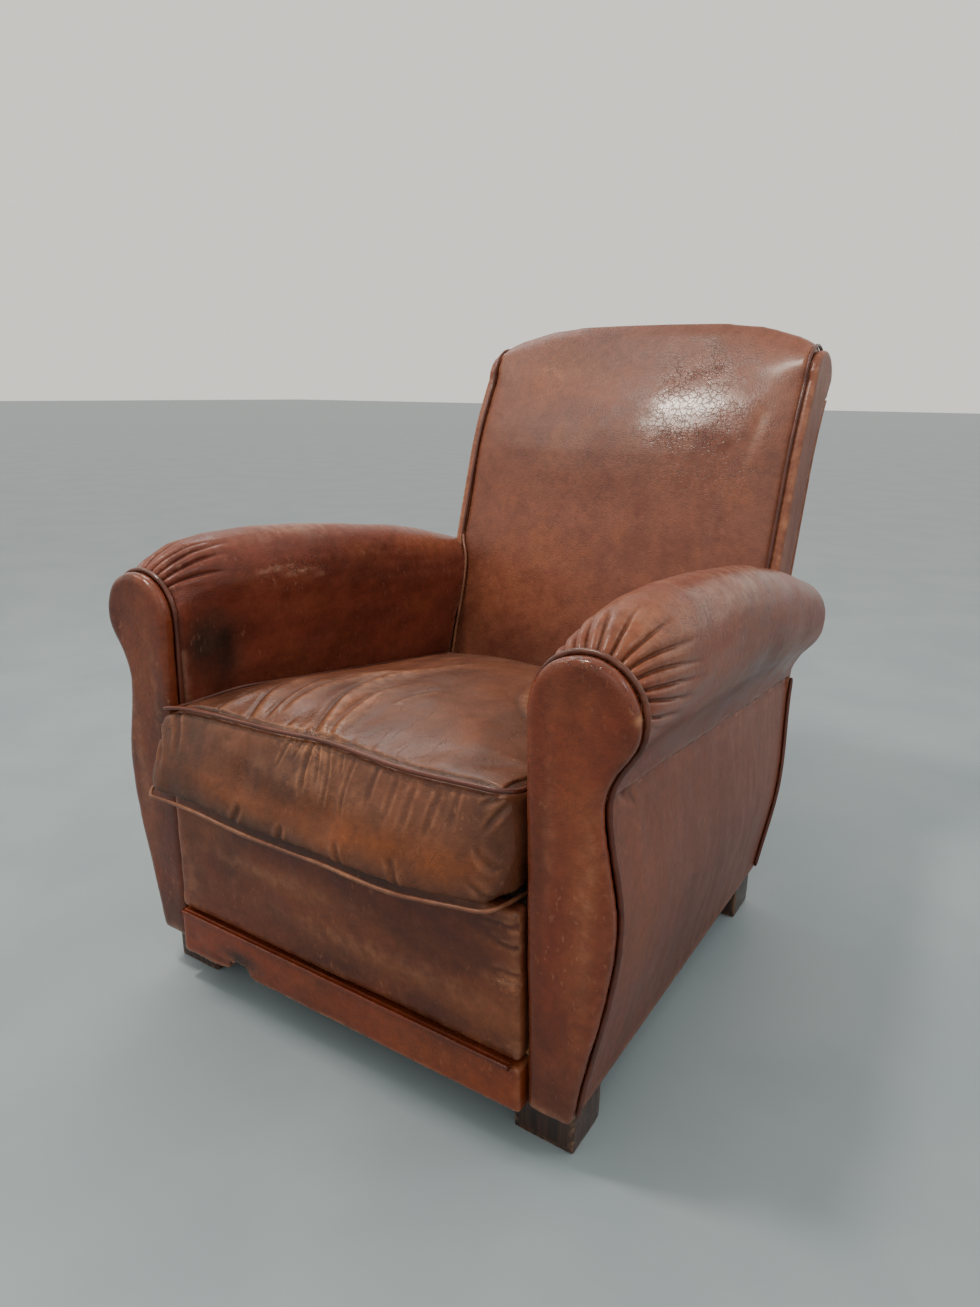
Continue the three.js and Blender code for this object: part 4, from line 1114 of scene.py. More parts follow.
    def colour(self, skin: Skin, folds: np.ndarray) -> None:
        """Paint the cushion's wear and dirt, painted shade in its fold valleys, and paler fold ridges that
        are partly painted highlight.

        Args:
            skin: The cover.
            folds: Height of its folds in millimetres, below 0 in their valleys.
        """
        skin.weathered(
            tone=[Patch((150, -150, 380), (120, 190, 60), 0.14),
                  Patch((-165, -330, 378), (80, 95, 50), -0.7), Patch((20, -445, 330), (270, 30, 60), -0.2),
                  Patch((-60, 120, 330), (220, 70, 60), -0.3), Patch((-200, -440, 300), (60, 40, 70), -0.25),
                  Patch((235, -440, 330), (20, 30, 80), -0.3)],
            warm=[Patch((60, -440, 318), (200, 30, 20), 0.7), Patch((150, -440, 330), (80, 30, 30), 0.3)],
            wear=[Patch((-10, -425, 388), (60, 26, 14), 0.55), Patch((40, -445, 350), (120, 20, 18), 0.2),
                  Patch((-25, -408, 388), (26, 20, 10), 0.5), Patch((20, -446, 364), (30, 16, 12), 0.4),
                  Patch((-150, -425, 385), (60, 24, 12), 0.2)],
            dirt=[Patch((-170, -445, 270), (120, 40, 26), 0.9), Patch((-20, -450, 268), (200, 40, 14), 0.6),
                  Patch((150, -100, 375), (110, 200, 50), 0.28), Patch((0, 60, 340), (230, 60, 40), 0.35)],
            cracks=[Patch((20, -445, 345), (150, 30, 24), 0.35),
                    Patch((-20, -400, 390), (120, 50, 20), 0.35),
                    Patch((-10, -420, 385), (50, 40, 20), 0.5)],
            rub_and_shading=0.35)
        # Painted shade in the fold valleys; paler fold ridges, partly rubbed hide and partly painted
        # highlight
        skin.add("tone", 0.15 * np.minimum(folds, 0))
        skin.add("wear", 0.11 * np.maximum(folds, 0))


@dataclass
class Arm:
    """One rolled arm: its padded cover, facing board, piping and outside panel.

    Attributes:
        side: Which side of the chair it is on.
        pleats: Gathers over the roll, each from an angle and distance to another; degrees outwards from the
            top and millimetres behind the facing's front.
        spots: Patches of the inside cover by layer.
        voxel: Size of the cover's squares in millimetres.
        roll_x: Distance of the roll's middle from the chair's middle.
        roll_z: Height of the roll's middle.
        pleat_depth: Depth of the gathers.
        panel_front: Where the outside panel starts, along y.
        crease_front: Height of the crease under the roll at the front.
        crease_drop: How much lower the crease is at the rear.
        facing_tone: How much lighter or darker the facing is than the other arm's.
        lap: How far the cover's lower edge stands out over the outside panel, in millimetres.
    """

    side: Side
    pleats: tuple
    spots: dict
    voxel: float = 4.3
    roll_x: float = 296.5
    roll_z: float = 478.0
    pleat_depth: float = 3.6
    panel_front: float = -386.9
    crease_front: float = 400.0
    crease_drop: float = 66.0
    facing_tone: float = 0.0
    lap: float = 1.4

    @property
    def out(self) -> float:
        """The sign of the arm's side."""
        return self.side.value

    def panel_rear_at(self, height: np.ndarray) -> np.ndarray:
        """Give where the outside panel ends along y, at heights in millimetres."""
        return -408.3 + 660.7 + 0.3 * (height - 299)

    def crease_at(self, points: np.ndarray) -> np.ndarray:
        """Give the height of the crease under the roll, in millimetres.

        Args:
            points: Places in metres.

        Returns:
            One height per place.
        """
        height = points[:, 2] / MM
        share = (points[:, 1] / MM - self.panel_front) / (self.panel_rear_at(height) - self.panel_front)
        return self.crease_front - self.crease_drop * share

    def gathered(self, points: np.ndarray) -> np.ndarray:
        """Work out the pleats that fan back from the facing.

        Args:
            points: Places on the cover.

        Returns:
            Movement along the normal in millimetres.
        """
        across = self.out * points[:, 0] / MM - self.roll_x
        up = points[:, 2] / MM - self.roll_z
        behind = (points[:, 1] - FACING_FRONT_Y) / MM
        angle, radius = np.degrees(np.arctan2(across, up)), np.hypot(across, up)
        total = np.zeros(len(points))
        for first, start, last, end in self.pleats:
            share = (behind - start) / (end - start)
            bend = 1.2 * np.sin(np.clip(share, 0, 1) * math.pi + first)
            middle = first + (last - first) * np.clip(share, -0.1, 1.2) + bend
            off = np.radians(angle - middle) * radius
            hold = ease(-0.25, 0.05, share) * ease(1.1, 0.25, share)
            width = 1.3 + 1.2 * np.clip(share, 0, 1)
            puff = bell(np.abs(off) - 3.6 * width, 2.6 * width)
            total += hold * (0.32 * puff - bell(off, width))
        return self.pleat_depth * total

    def cover(self, finish: Finishes) -> None:
        """Make the padded cover of the arm.

        Args:
            finish: The set of finishes.
        """
        skin = Skin(f"arm_cover_{self.side.word}", f"arm_pad_{self.side.word}")
        skin.remesh(self.voxel)
        skin.soften(4)
        for reach in (0.17, 0.1):
            skin.refine(lambda p: (p[:, 1] < FACING_FRONT_Y + reach) & (p[:, 2] > 0.44))
        skin.soften(1)
        points = skin.points
        behind = (points[:, 1] - FACING_FRONT_Y) / MM
        away = ease(24, 60, behind)
        ripple = noise(points * np.array([1, 0.35, 1]), 0.028, 21) * 0.7 + noise(points, 0.09, 22) * 1.5
        pleats = self.gathered(points)
        above = points[:, 2] / MM - self.crease_at(points)
        lap = bell(above, 9) * ease(0.3, 0.8, self.out * skin.normals[:, 0])
        skin.push(pleats + away * ripple * (1 - lap) + self.lap * lap)
        # A painted sheen: a lighter strip along the top of the roll
        sheen = Patch((self.out * 300, -60, 560), (60, 330, 40), 0.1)
        skin.weathered(**{**self.spots, "tone": (*self.spots["tone"], sheen)}, rub_and_shading=0.45)
        # Painted shade along the crease under the roll and in the valleys of the pleats
        shade = bell(above, 16) * ease(0.1, 0.5, self.out * skin.normals[:, 0])
        skin.add("tone", 0.17 * np.minimum(pleats, 0) - 0.4 * shade)
        skin.done(finish.arm)

    def facing(self, finish: Finishes) -> None:
        """Make the leather-covered facing board at the arm's front.

        Args:
            finish: The set of finishes.
        """
        skin = Skin(f"arm_front_{self.side.word}", f"arm_facing_{self.side.word}")
        skin.remesh(2.8)
        skin.soften(6)
        points = skin.points
        skin.push(0.35 * noise(points, 0.03, 31) + 0.25 * noise(points * np.array([1, 1, 0.5]), 0.012, 32))
        x = self.out
        skin.weathered(
            tone=[Patch((x * 295, -408, 280), (90, 20, 330), self.facing_tone),
                  Patch((x * 262, -408, 300), (14, 20, 200), -0.2),
                  Patch((x * 345, -408, 480), (14, 20, 60), -0.3),
                  Patch((x * 300, -408, 70), (60, 20, 40), -0.2),
                  Patch((x * 300, -408, 160), (70, 20, 110), -0.26),
                  Patch((x * 300, -408, 520), (60, 20, 18), -0.2)],
            warm=[Patch((x * 292, -408, 410), (24, 20, 60), 0.45),
                  Patch((x * 304, -408, 240), (16, 20, 120), 0.6),
                  Patch((x * 290, -408, 500), (30, 20, 24), 0.25)],
            wear=[Patch((x * 352, -404, 452), (3, 12, 7), 1.5),
                  Patch((x * 349, -404, 487), (2.5, 12, 5), 1.4),
                  Patch((x * 345, -404, 505), (3, 12, 3), 1.2), Patch((x * 275, -404, 60), (30, 14, 8), 0.5),
                  Patch((x * 312, -406, 300), (8, 12, 90), 0.35),
                  Patch((x * 272, -406, 380), (6, 12, 90), 0.25)],
            dirt=[Patch((x * 262, -408, 330), (12, 18, 120), 0.3),
                  Patch((x * 280, -408, 80), (60, 18, 40), 0.3)],
            cracks=[Patch((x * 290, -408, 430), (40, 20, 60), 0.3),
                    Patch((x * 298, -402, 528), (44, 8, 10), 0.9),
                    Patch((x * 346, -402, 492), (10, 8, 30), 0.9)],
            rub_and_shading=0.25)
        skin.done(finish.facing)
        cord = Skin(f"facing_piping_{self.side.word}", f"facing_welt_{self.side.word}")
        cord.subdivide(2)
        cord.push(0.25 * noise(cord.points, 0.007, 33))
        cord.weathered(wear=[Patch((x * 320, -390, 500), (60, 20, 60), 0.4)], rub_and_shading=0.2)
        cord.done(finish.piping)

    def outside(self, finish: Finishes) -> None:
        """Make the flat panel on the arm's outside.

        Args:
            finish: The set of finishes.
        """
        skin = Skin(f"side_panel_{self.side.word}", f"outer_arm_{self.side.word}")
        skin.slice((0, 8, 8))
        points, normals = skin.points / MM, skin.normals
        crease = self.crease_at(skin.points)
        to_rear = self.panel_rear_at(points[:, 2]) - points[:, 1]
        flat = (np.abs(normals[:, 0]) > 0.8) & (points[:, 2] > 62) & (points[:, 2] < crease - 9)
        skin.soften(14, flat & (to_rear > 9) & (points[:, 1] > self.panel_front + 9))
        points = skin.points
        outward = ease(0.2, 0.7, self.out * skin.normals[:, 0])
        inner = ease(0.05, 0.09, points[:, 2]) * ease(0, 30, crease - points[:, 2] / MM)
        grain = noise(points * np.array([1, 1, 0.22]), 0.035, 41)
        grain = grain + 0.5 * noise(points * np.array([1, 1, 0.3]), 0.015, 42)
        tuck, reach = beside(points[:, 1:] / MM, rounded([(-362, 398), (-345, 388), (-318, 372)]))
        gather = 3.4 * bell(tuck, 3) * ease(1.1, 0.3, reach)
        # The panel's top edge goes up behind the roll, and its rear edge back to the piping
        under = ease(16, 3, crease - points[:, 2] / MM)
        points[:, 0] += self.out * ((0.15 * grain * inner - gather) * outward - 2.6 * under) * MM
        points[:, 2] += 3.0 * under * MM
        points[:, 1] += 2.0 * ease(8, 0, to_rear) * MM
        skin.points = points
        x = self.out
        # Darker towards the bottom; the lighter band just under the crease is painted light below the
        # painted shade of the roll
        skin.weathered(
            tone=[Patch((x * 320, -120, 100), (40, 260, 80), -0.5),
                  Patch((x * 330, -60, 330), (40, 220, 50), 0.1)],
            warm=[Patch((x * 325, -330, 250), (40, 50, 110), 0.35)],
            wear=[Patch((x * 305, -150, 56), (20, 300, 6), 0.4)],
            dirt=[Patch((x * 315, -50, 200), (40, 200, 110), 0.35),
                  Patch((x * 305, -150, 62), (30, 300, 22), 0.4)],
            cracks=[Patch((x * 320, -200, 250), (40, 160, 80), 0.25)],
            rub_and_shading=0.3)
        # Painted shade in the tuck
        skin.add("tone", -0.3 * gather)
        skin.done(finish.side, crisp=True)

    def junction(self, finish: Finishes) -> None:
        """Make the thin piping where the inside cover meets the back.

        Args:
            finish: The set of finishes.
        """
        line = rounded([(246, 172, 290), (244.5, 181, 338), (243.2, 190, 372), (241.8, 199.5, 413),
                        (242.6, 209, 450), (249, 218, 472), (258, 225.5, 485), (264, 233, 498)])
        curve = bpy.data.curves.new(f"junction_piping_{self.side.word}", "CURVE")
        curve.dimensions = "3D"
        curve.bevel_depth = 2.6 * MM
        curve.bevel_resolution = 3
        curve.use_fill_caps = True
        spline = curve.splines.new("POLY")
        spline.points.add(len(line) - 1)
        for point, place in zip(spline.points, line):
            point.co = (self.out * place[0] * MM, place[1] * MM, place[2] * MM, 1)
        drawn = bpy.data.objects.new("drawn", curve)
        bpy.context.scene.collection.objects.link(drawn)
        mesh = bpy.data.meshes.new_from_object(drawn.evaluated_get(bpy.context.evaluated_depsgraph_get()))
        bpy.data.objects.remove(drawn)
        mesh.materials.clear()
        mesh.materials.append(finish.tan_piping)
        mesh.shade_smooth()
        piece = bpy.data.objects.new(f"junction_piping_{self.side.word}", mesh)
        bpy.context.scene.collection.objects.link(piece)
        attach(piece, BODY)
        log.info("%s: %d vertices", piece.name, len(mesh.vertices))

    def build(self, finish: Finishes) -> None:
        """Make the whole arm.

        Args:
            finish: The set of finishes.
        """
        self.cover(finish)
        self.facing(finish)
        self.outside(finish)
        self.junction(finish)


@dataclass
class BackRest:
    """The padded back with its side borders, piping and outside panel.

    Attributes:
        voxel: Size of the cover's squares in millimetres.
        ripple: Height of its soft undulations in millimetres.
        roll_back: How far the crest is set back in its middle, in millimetres.
    """

    voxel: float = 5.2
    ripple: float = 0.9
    roll_back: float = 20.0

    def cover(self, finish: Finishes) -> None:
        """Make the crowned back cover.

        Args:
            finish: The set of finishes.
        """
        skin = Skin("back_cover", "back_pad")
        skin.remesh(self.voxel)
        skin.soften(6)
        points = skin.points
        shoulder = (points[:, 2] > 0.69) & (points[:, 2] < 0.825) & (np.abs(points[:, 0]) < 0.258)
        shoulder = shoulder & (skin.normals[:, 1] < -0.25)
        # The crest rolls back sooner than the pad's block does
        roll = ease(0.742, 0.815, points[:, 2]) * ease(0.405, 0.355, points[:, 1])
        points[:, 1] += self.roll_back * MM * roll * ease(0.264, 0.19, np.abs(points[:, 0]))
        skin.points = points
        skin.soften(90, shoulder)
        skin.soften(3)
        points = skin.points
        forward = ease(0.1, 0.5, -skin.normals[:, 1])
        soft = noise(points * np.array([0.6, 1, 1]), 0.09, 51) * self.ripple + noise(points, 0.035, 52) * 0.2
        slack = rounded([(222, 735), (214, 690), (196, 620), (182, 540), (190, 470)])
        streak, reach = beside(points[:, ::2] / MM, slack)
        pull = 1.3 * bell(streak, 9) * ease(0, 0.1, reach) * ease(1, 0.8, reach)
        skin.push((soft - pull) * forward)
        scratch, along = beside(points[:, ::2] / MM, rounded([(-190, 772), (-150, 776), (-112, 750)]))
        rubbed = 0.5 * bell(scratch, 2.2) * ease(0.0, 0.1, along) * ease(1.0, 0.85, along)
        # The two tone patches along the crest, 795 and 830 mm up, are painted shade where the crest rolls
        # back
        skin.weathered(
            tone=[Patch((-230, 230, 450), (40, 80, 160), -0.15), Patch((190, 300, 720), (60, 60, 80), -0.12),
                  Patch((0, 190, 320), (260, 60, 50), -0.2), Patch((20, 200, 470), (230, 80, 110), 0.22),
                  Patch((245, 280, 600), (22, 90, 220), -0.2), Patch((0, 370, 830), (240, 60, 40), -0.3),
                  Patch((-20, 262, 640), (210, 80, 80), -0.5), Patch((-65, 334, 795), (190, 60, 40), -0.55),
                  Patch((-230, 200, 400), (60, 80, 90), -0.3)],
            warm=[Patch((-120, 200, 440), (110, 60, 110), 0.14), Patch((-40, 270, 640), (130, 60, 70), 0.1),
                  Patch((-130, 330, 770), (70, 50, 40), 0.3), Patch((120, 200, 500), (60, 60, 60), 0.1)],
            wear=[Patch((-150, 330, 770), (50, 30, 8), 0.2), Patch((214, 300, 700), (8, 40, 40), 0.3)],
            dirt=[Patch((0, 190, 320), (260, 60, 40), 0.3), Patch((40, 290, 690), (110, 60, 40), 0.15),
                  Patch((-200, 300, 690), (50, 60, 60), 0.2)],
            cracks=[Patch((105, 301, 726), (66, 60, 80), 1.25), Patch((170, 260, 640), (60, 60, 110), 0.5),
                    Patch((-60, 240, 560), (120, 60, 90), 0.35)],
            rub_and_shading=0.4)
        skin.add("wear", rubbed)
        skin.done(finish.cover)

    def border(self, side: Side, finish: Finishes) -> None:
        """Make one leather-covered border board and its piping.

        Args:
            side: Which side of the chair it is on.
            finish: The set of finishes.
        """
        x = side.value
        skin = Skin(f"back_side_{side.word}", f"back_border_{side.word}")
        skin.remesh(3.4)
        skin.soften(3)
        skin.push(0.35 + 0.4 * noise(skin.points, 0.04, 61))
        skin.weathered(
            tone=[Patch((x * 281, 330, 600), (12, 90, 220), 0.12)],
            wear=[Patch((x * 276, 250, 600), (16, 24, 300), 0.25)],
            dirt=[Patch((x * 282, 330, 600), (10, 60, 200), 0.3)],
            rub_and_shading=0.6)
        skin.done(finish.side)
        cord = Skin(f"back_piping_{side.word}", f"back_welt_{side.word}")
        cord.subdivide(2)
        points = cord.points
        points[:, 2] -= 5.5 * MM * ease(0.76, 0.8, points[:, 2])
        points[:, 1] += 1.6 * MM * ease(0.8, 0.76, points[:, 2])
        cord.points = points
        cord.push(-0.6 + 0.2 * noise(cord.points, 0.008, 62))
        cord.weathered(rub_and_shading=0.2)
        cord.done(finish.piping)
        edge = Skin(f"rear_piping_{side.word}", f"rear_edge_welt_{side.word}")
        edge.subdivide(2)
        points = edge.points
        points[:, 0] -= x * 1.3 * MM
        edge.points = points
        edge.weathered(rub_and_shading=0.3)
        edge.done(finish.piping)

    def outside(self, finish: Finishes) -> None:
        """Make the panel that closes the back.

        Args:
            finish: The set of finishes.
        """
        skin = Skin("outside_back", "outer_back")
        skin.slice((9, 0, 9))
        points = skin.points
        flat = (np.abs(skin.normals[:, 1]) > 0.6) & (np.abs(points[:, 0]) < 0.265)
        skin.soften(14, flat & (points[:, 2] > 0.065) & (points[:, 2] < 0.715))
        points = skin.points
        rearward = ease(0.2, 0.7, skin.normals[:, 1])
        inner = ease(0.06, 0.12, points[:, 2]) * ease(0.31, 0.24, np.abs(points[:, 0]))
        soft = 1.2 * noise(points * np.array([1, 1, 0.4]), 0.06, 71) + 0.8 * noise(points, 0.14, 72)
        skin.push(soft * rearward * inner)
        skin.weathered(
            tone=[Patch((0, 300, 100), (300, 200, 60), -0.2), Patch((-60, 300, 480), (140, 200, 120), 0.12)],
            warm=[Patch((90, 300, 400), (110, 200, 130), 0.4)],
            wear=[Patch((0, 200, 60), (300, 80, 10), 0.5), Patch((-200, 250, 330), (90, 80, 14), 0.2)],
            dirt=[Patch((0, 220, 120), (300, 120, 60), 0.45)],
            cracks=[Patch((60, 300, 520), (160, 200, 120), 0.4)],
            rub_and_shading=0.4)
        skin.done(finish.side, crisp=True)

    def build(self, finish: Finishes) -> None:
        """Make the whole back.

        Args:
            finish: The set of finishes.
        """
        self.cover(finish)
        for side in Side:
            self.border(side, finish)
        self.outside(finish)


@dataclass
class SeatFront:
    """The apron under the cushion, the strip below it and the double piping between them.

    Attributes:
        tear: Where the strip's lower edge is torn, across the front in millimetres.
        cord_end: How far the double piping reaches to each side.
        tear_height: How far the tear reaches up.
        fray: How ragged the rest of the lower edge is.
    """

    tear: tuple[float, float] = (-172.0, -126.0)
    cord_end: float = 243.5
    tear_height: float = 17.0
    fray: float = 1.4

    def apron(self, finish: Finishes) -> None:
        """Make the apron.

        Args:
            finish: The set of finishes.
        """
        skin = Skin("seat_apron", "front_apron")
        skin.remesh(4.2)
        skin.soften(4)
        points = skin.points
        forward = ease(0.2, 0.7, -skin.normals[:, 1])
        soft = noise(points * np.array([0.4, 1, 1]), 0.035, 81) * 0.9 + noise(points, 0.012, 82) * 0.3
        wrinkle = np.zeros(len(points))
        for line in ([(250, 262), (226, 256), (196, 262)], [(250, 238), (230, 236), (206, 246)],
                     [(250, 196), (236, 194), (216, 186)], [(250, 206), (232, 210), (214, 204)]):
            off, share = beside(points[:, ::2] / MM, rounded(line))
            wrinkle += 1.8 * bell(off, 3) * ease(1, 0.5, share)
        skin.push((soft - wrinkle) * forward)
        # Darker in narrow bands along the top, under the cushion, and along the bottom, above the double
        # piping
        skin.weathered(
            tone=[Patch((-150, -415, 180), (60, 20, 50), -0.05),
                  Patch((30, -415, 262), (260, 20, 12), -0.35), Patch((100, -415, 160), (90, 20, 30), 0.15),
                  Patch((0, -415, 114), (260, 20, 6), -0.3)],
            warm=[Patch((225, -415, 170), (40, 20, 60), 0.4), Patch((-30, -415, 200), (120, 20, 24), 0.5),
                  Patch((80, -415, 150), (130, 20, 18), 0.5), Patch((-190, -415, 235), (60, 20, 20), 0.5)],
            wear=[Patch((235, -415, 195), (20, 12, 4), 0.7), Patch((60, -415, 165), (150, 12, 12), 0.3),
                  Patch((-100, -415, 205), (110, 12, 10), 0.3), Patch((-225, -415, 150), (14, 12, 40), 0.3)],
            dirt=[Patch((-60, -415, 150), (200, 20, 26), 0.2), Patch((0, -415, 265), (260, 20, 16), 0.3),
                  Patch((120, -415, 215), (80, 20, 20), 0.3), Patch((-220, -415, 180), (20, 20, 70), 0.3)],
            cracks=[Patch((230, -415, 195), (24, 20, 14), 0.5), Patch((0, -415, 190), (200, 20, 50), 0.2)],
            rub_and_shading=0.5)
        skin.done(finish.apron)

    def strip(self, finish: Finishes) -> None:
        """Make the lower strip with its frayed and torn edge.

        Args:
            finish: The set of finishes.
        """
        skin = Skin("lower_strip", "plinth_strip")
        skin.remesh(2.4)
        skin.soften(3)
        points = skin.points
        x, z = points[:, 0] / MM, points[:, 2] / MM
        lower = ease(74, 46, z)
        along = points * np.array([1, 0, 0])
        ragged = self.fray * (noise(along, 0.009, 91) + 0.7 * noise(along, 0.003, 92))
        torn = ease(self.tear[0], self.tear[0] + 7, x) * ease(self.tear[1], self.tear[1] - 12, x)
        ragged *= 0.3 + 0.9 * ease(-60, -150, x)
        bite = self.tear_height * torn * (0.75 + 0.4 * noise(along, 0.005, 93))
        hang = np.interp(x, [-253, -185, -160, 100, 253], [-4.5, -3, 1, 2, 4])
        points[:, 2] += lower * (ragged + bite + hang) * MM
        bulge = 0.7 * noise(points, 0.05, 94) + 0.3 * noise(points, 0.015, 95)
        points[:, 1] -= ease(0.2, 0.7, -skin.normals[:, 1]) * bulge * MM
        skin.points = points
        skin.weathered(
            tone=[Patch((-148, -416, 68), (24, 20, 9), -1.3), Patch((0, -416, 98), (260, 20, 5), -0.25),
                  Patch((-190, -416, 56), (30, 20, 6), -0.6)],
            warm=[Patch((160, -416, 75), (120, 20, 30), 0.4), Patch((-60, -416, 75), (80, 20, 22), 0.2)],
            wear=[Patch((0, -416, 48), (260, 14, 4), 0.45), Patch((-150, -416, 62), (24, 12, 5), 0.5)],
            dirt=[Patch((-100, -416, 52), (150, 20, 10), 0.45), Patch((-150, -416, 70), (30, 20, 10), 0.8)],
            cracks=[Patch((-150, -416, 66), (50, 20, 18), 0.8), Patch((150, -416, 70), (90, 20, 20), 0.3)],
            rub_and_shading=0.5)
        skin.done(finish.strip)

    def build(self, finish: Finishes) -> None:
        """Make the front below the cushion.

        Args:
            finish: The set of finishes.
        """
        self.apron(finish)
        self.strip(finish)
        cord = Skin("double_piping", "apron_double_welt")
        cord.slice((12, 0, 0))
        cord.subdivide(1)
        points = cord.points
        points[:, 0] = np.clip(points[:, 0], -self.cord_end * MM, self.cord_end * MM)
        cord.points = points
        cord.push(-0.6 + 0.2 * noise(cord.points, 0.009, 96))
        cord.weathered(tone=[Patch((0, -418, 104), (900, 90, 60), -0.5)], rub_and_shading=0.3)
        cord.done(finish.strip)


@dataclass
class Foot:
    """One block foot.

    Attributes:
        node: The CAD node it stands for.
        bevel: Width of its softened edges in millimetres.
    """

    node: str
    bevel: float = 2.6

    def build(self, finish: Finishes) -> None:
        """Make the block, knock its corners and dress it.

        Args:
            finish: The set of finishes.
        """
        skin = Skin(f"block_{self.node}", self.node)
        low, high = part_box(self.node)
        size, middle = high - low, (low + high) / 2

        def shape(bm: bmesh.types.BMesh) -> None:
            """Shape the block from a cube.

            Args:
                bm: The open mesh.
            """
            bmesh.ops.delete(bm, geom=list(bm.verts), context="VERTS")
            bmesh.ops.create_cube(bm, size=1)
            bmesh.ops.scale(bm, vec=size, verts=bm.verts)
            bmesh.ops.translate(bm, vec=middle, verts=bm.verts)
            bmesh.ops.bevel(
                bm, geom=list(bm.edges), offset=self.bevel * MM, offset_type="OFFSET", affect="EDGES",
                segments=3, profile=0.5, material=-1, clamp_overlap=True)
            bmesh.ops.subdivide_edges(
                bm, edges=[e for e in bm.edges if e.calc_length() > 0.02], cuts=11, use_grid_fill=True)

        skin.edit(shape)
        points = skin.points
        worn = ease(0.02, 0.0, points[:, 2])
        skin.push(-(0.25 + 0.7 * worn) * np.maximum(noise(points, 0.012, 101), 0))
        points = skin.points
        points[:, 2] = np.maximum(points[:, 2], 0)
        skin.points = points
        edge = np.abs(points - np.array(middle)) / (np.array(size) / 2)
        near = np.sort(edge, axis=1)[:, 1]
        skin.paint(wear=0.8 * ease(0.86, 0.99, near))
        skin.done(finish.feet)


class Inside:
    """What the covers hide: beech frame, springs, webbing, hessian, deck and lining."""

    ACROSS = ("front_rail", "rear_rail", "crest_rail", "lower_back_rail")
    LENGTHWISE = ("side_rail", "arm_rail")
    UPRIGHT = ("front_post", "rear_stile")
    EASED_EDGE = 1.5 * MM

    def dress(self, node: str, material: bpy.types.Material) -> bpy.types.Object:
        """Give a CAD piece its finish, and join its loose triangles.

        Args:
            node: The CAD node.
            material: Its finish.

        Returns:
            The node's own object.
        """
        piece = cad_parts[node]
        piece.modifiers.new("joined", "WELD").merge_threshold = JOIN
        piece.data.materials.clear()
        piece.data.materials.append(material)
        log.info("%s: dressed", node)
        return piece

    def board(self, node: str, material: bpy.types.Material) -> None:
        """Dress a CAD board and soften its sawn edges.

        Args:
            node: The CAD node.
            material: Its finish.
        """
        board = self.dress(node, material)
        bevel = board.modifiers.new("eased_edges", "BEVEL")
        bevel.width = self.EASED_EDGE
        bevel.segments = 2
        bevel.limit_method = "ANGLE"

    def spring(self, node: str, material: bpy.types.Material) -> None:
        """Dress a CAD spring and round its wire.

        Args:
            node: The CAD node.
            material: Its finish.
        """
        wire = self.dress(node, material)
        rounding = wire.modifiers.new("round_wire", "SUBSURF")
        rounding.levels = rounding.render_levels = 1

    def strap(self, node: str, finish: Finishes) -> None:
        """Make one webbing strap that gives a little between its tacks.

        Args:
            node: The CAD node it stands for.
            finish: The set of finishes.
        """
        skin = Skin(f"strap_{node}", node)
        skin.slice((12, 12, 12))
        points = skin.points
        points[:, 2] += 0.35 * MM * noise(points * np.array([1, 1, 0]), 0.05, 111)
        skin.points = points
        skin.done(finish.jute)

    def cloth(self, node: str, name: str, material: bpy.types.Material, slot: str) -> None:
        """Make one stretched sheet.

        Args:
            node: The CAD node it stands for.
            name: The piece's name.
            material: Its finish.
            slot: Not used.
        """
        skin = Skin(name, node)
        skin.slice((14, 14, 0))
        points = skin.points
        points[:, 2] += 0.5 * MM * noise(points, 0.08, 121)
        skin.points = points
        piece = skin.done(material)

    def build(self, finish: Finishes) -> None:
        """Dress and make everything inside.

        Args:
            finish: The set of finishes.
        """
        for node in sorted(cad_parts):
            if node.startswith(self.ACROSS):
                self.board(node, finish.beech_x)
            elif node.startswith(self.LENGTHWISE):
                self.board(node, finish.beech_y)
            elif node.startswith(self.UPRIGHT):
                self.board(node, finish.beech_z)
            elif node.startswith("seat_spring"):
                self.spring(node, finish.steel)
            elif "webbing" in node:
                self.strap(node, finish)
        self.cloth("seat_hessian", "spring_hessian", finish.hessian, "hessian")
        self.cloth("dust_cover", "bottom_lining", finish.black, "black_cloth")
        deck = Skin("seat_deck", "seat_deck_pad")
        deck.remesh(9)
        deck.soften(4)
        deck.push(0.8 * noise(deck.points, 0.06, 131))
        deck.done(finish.calico)


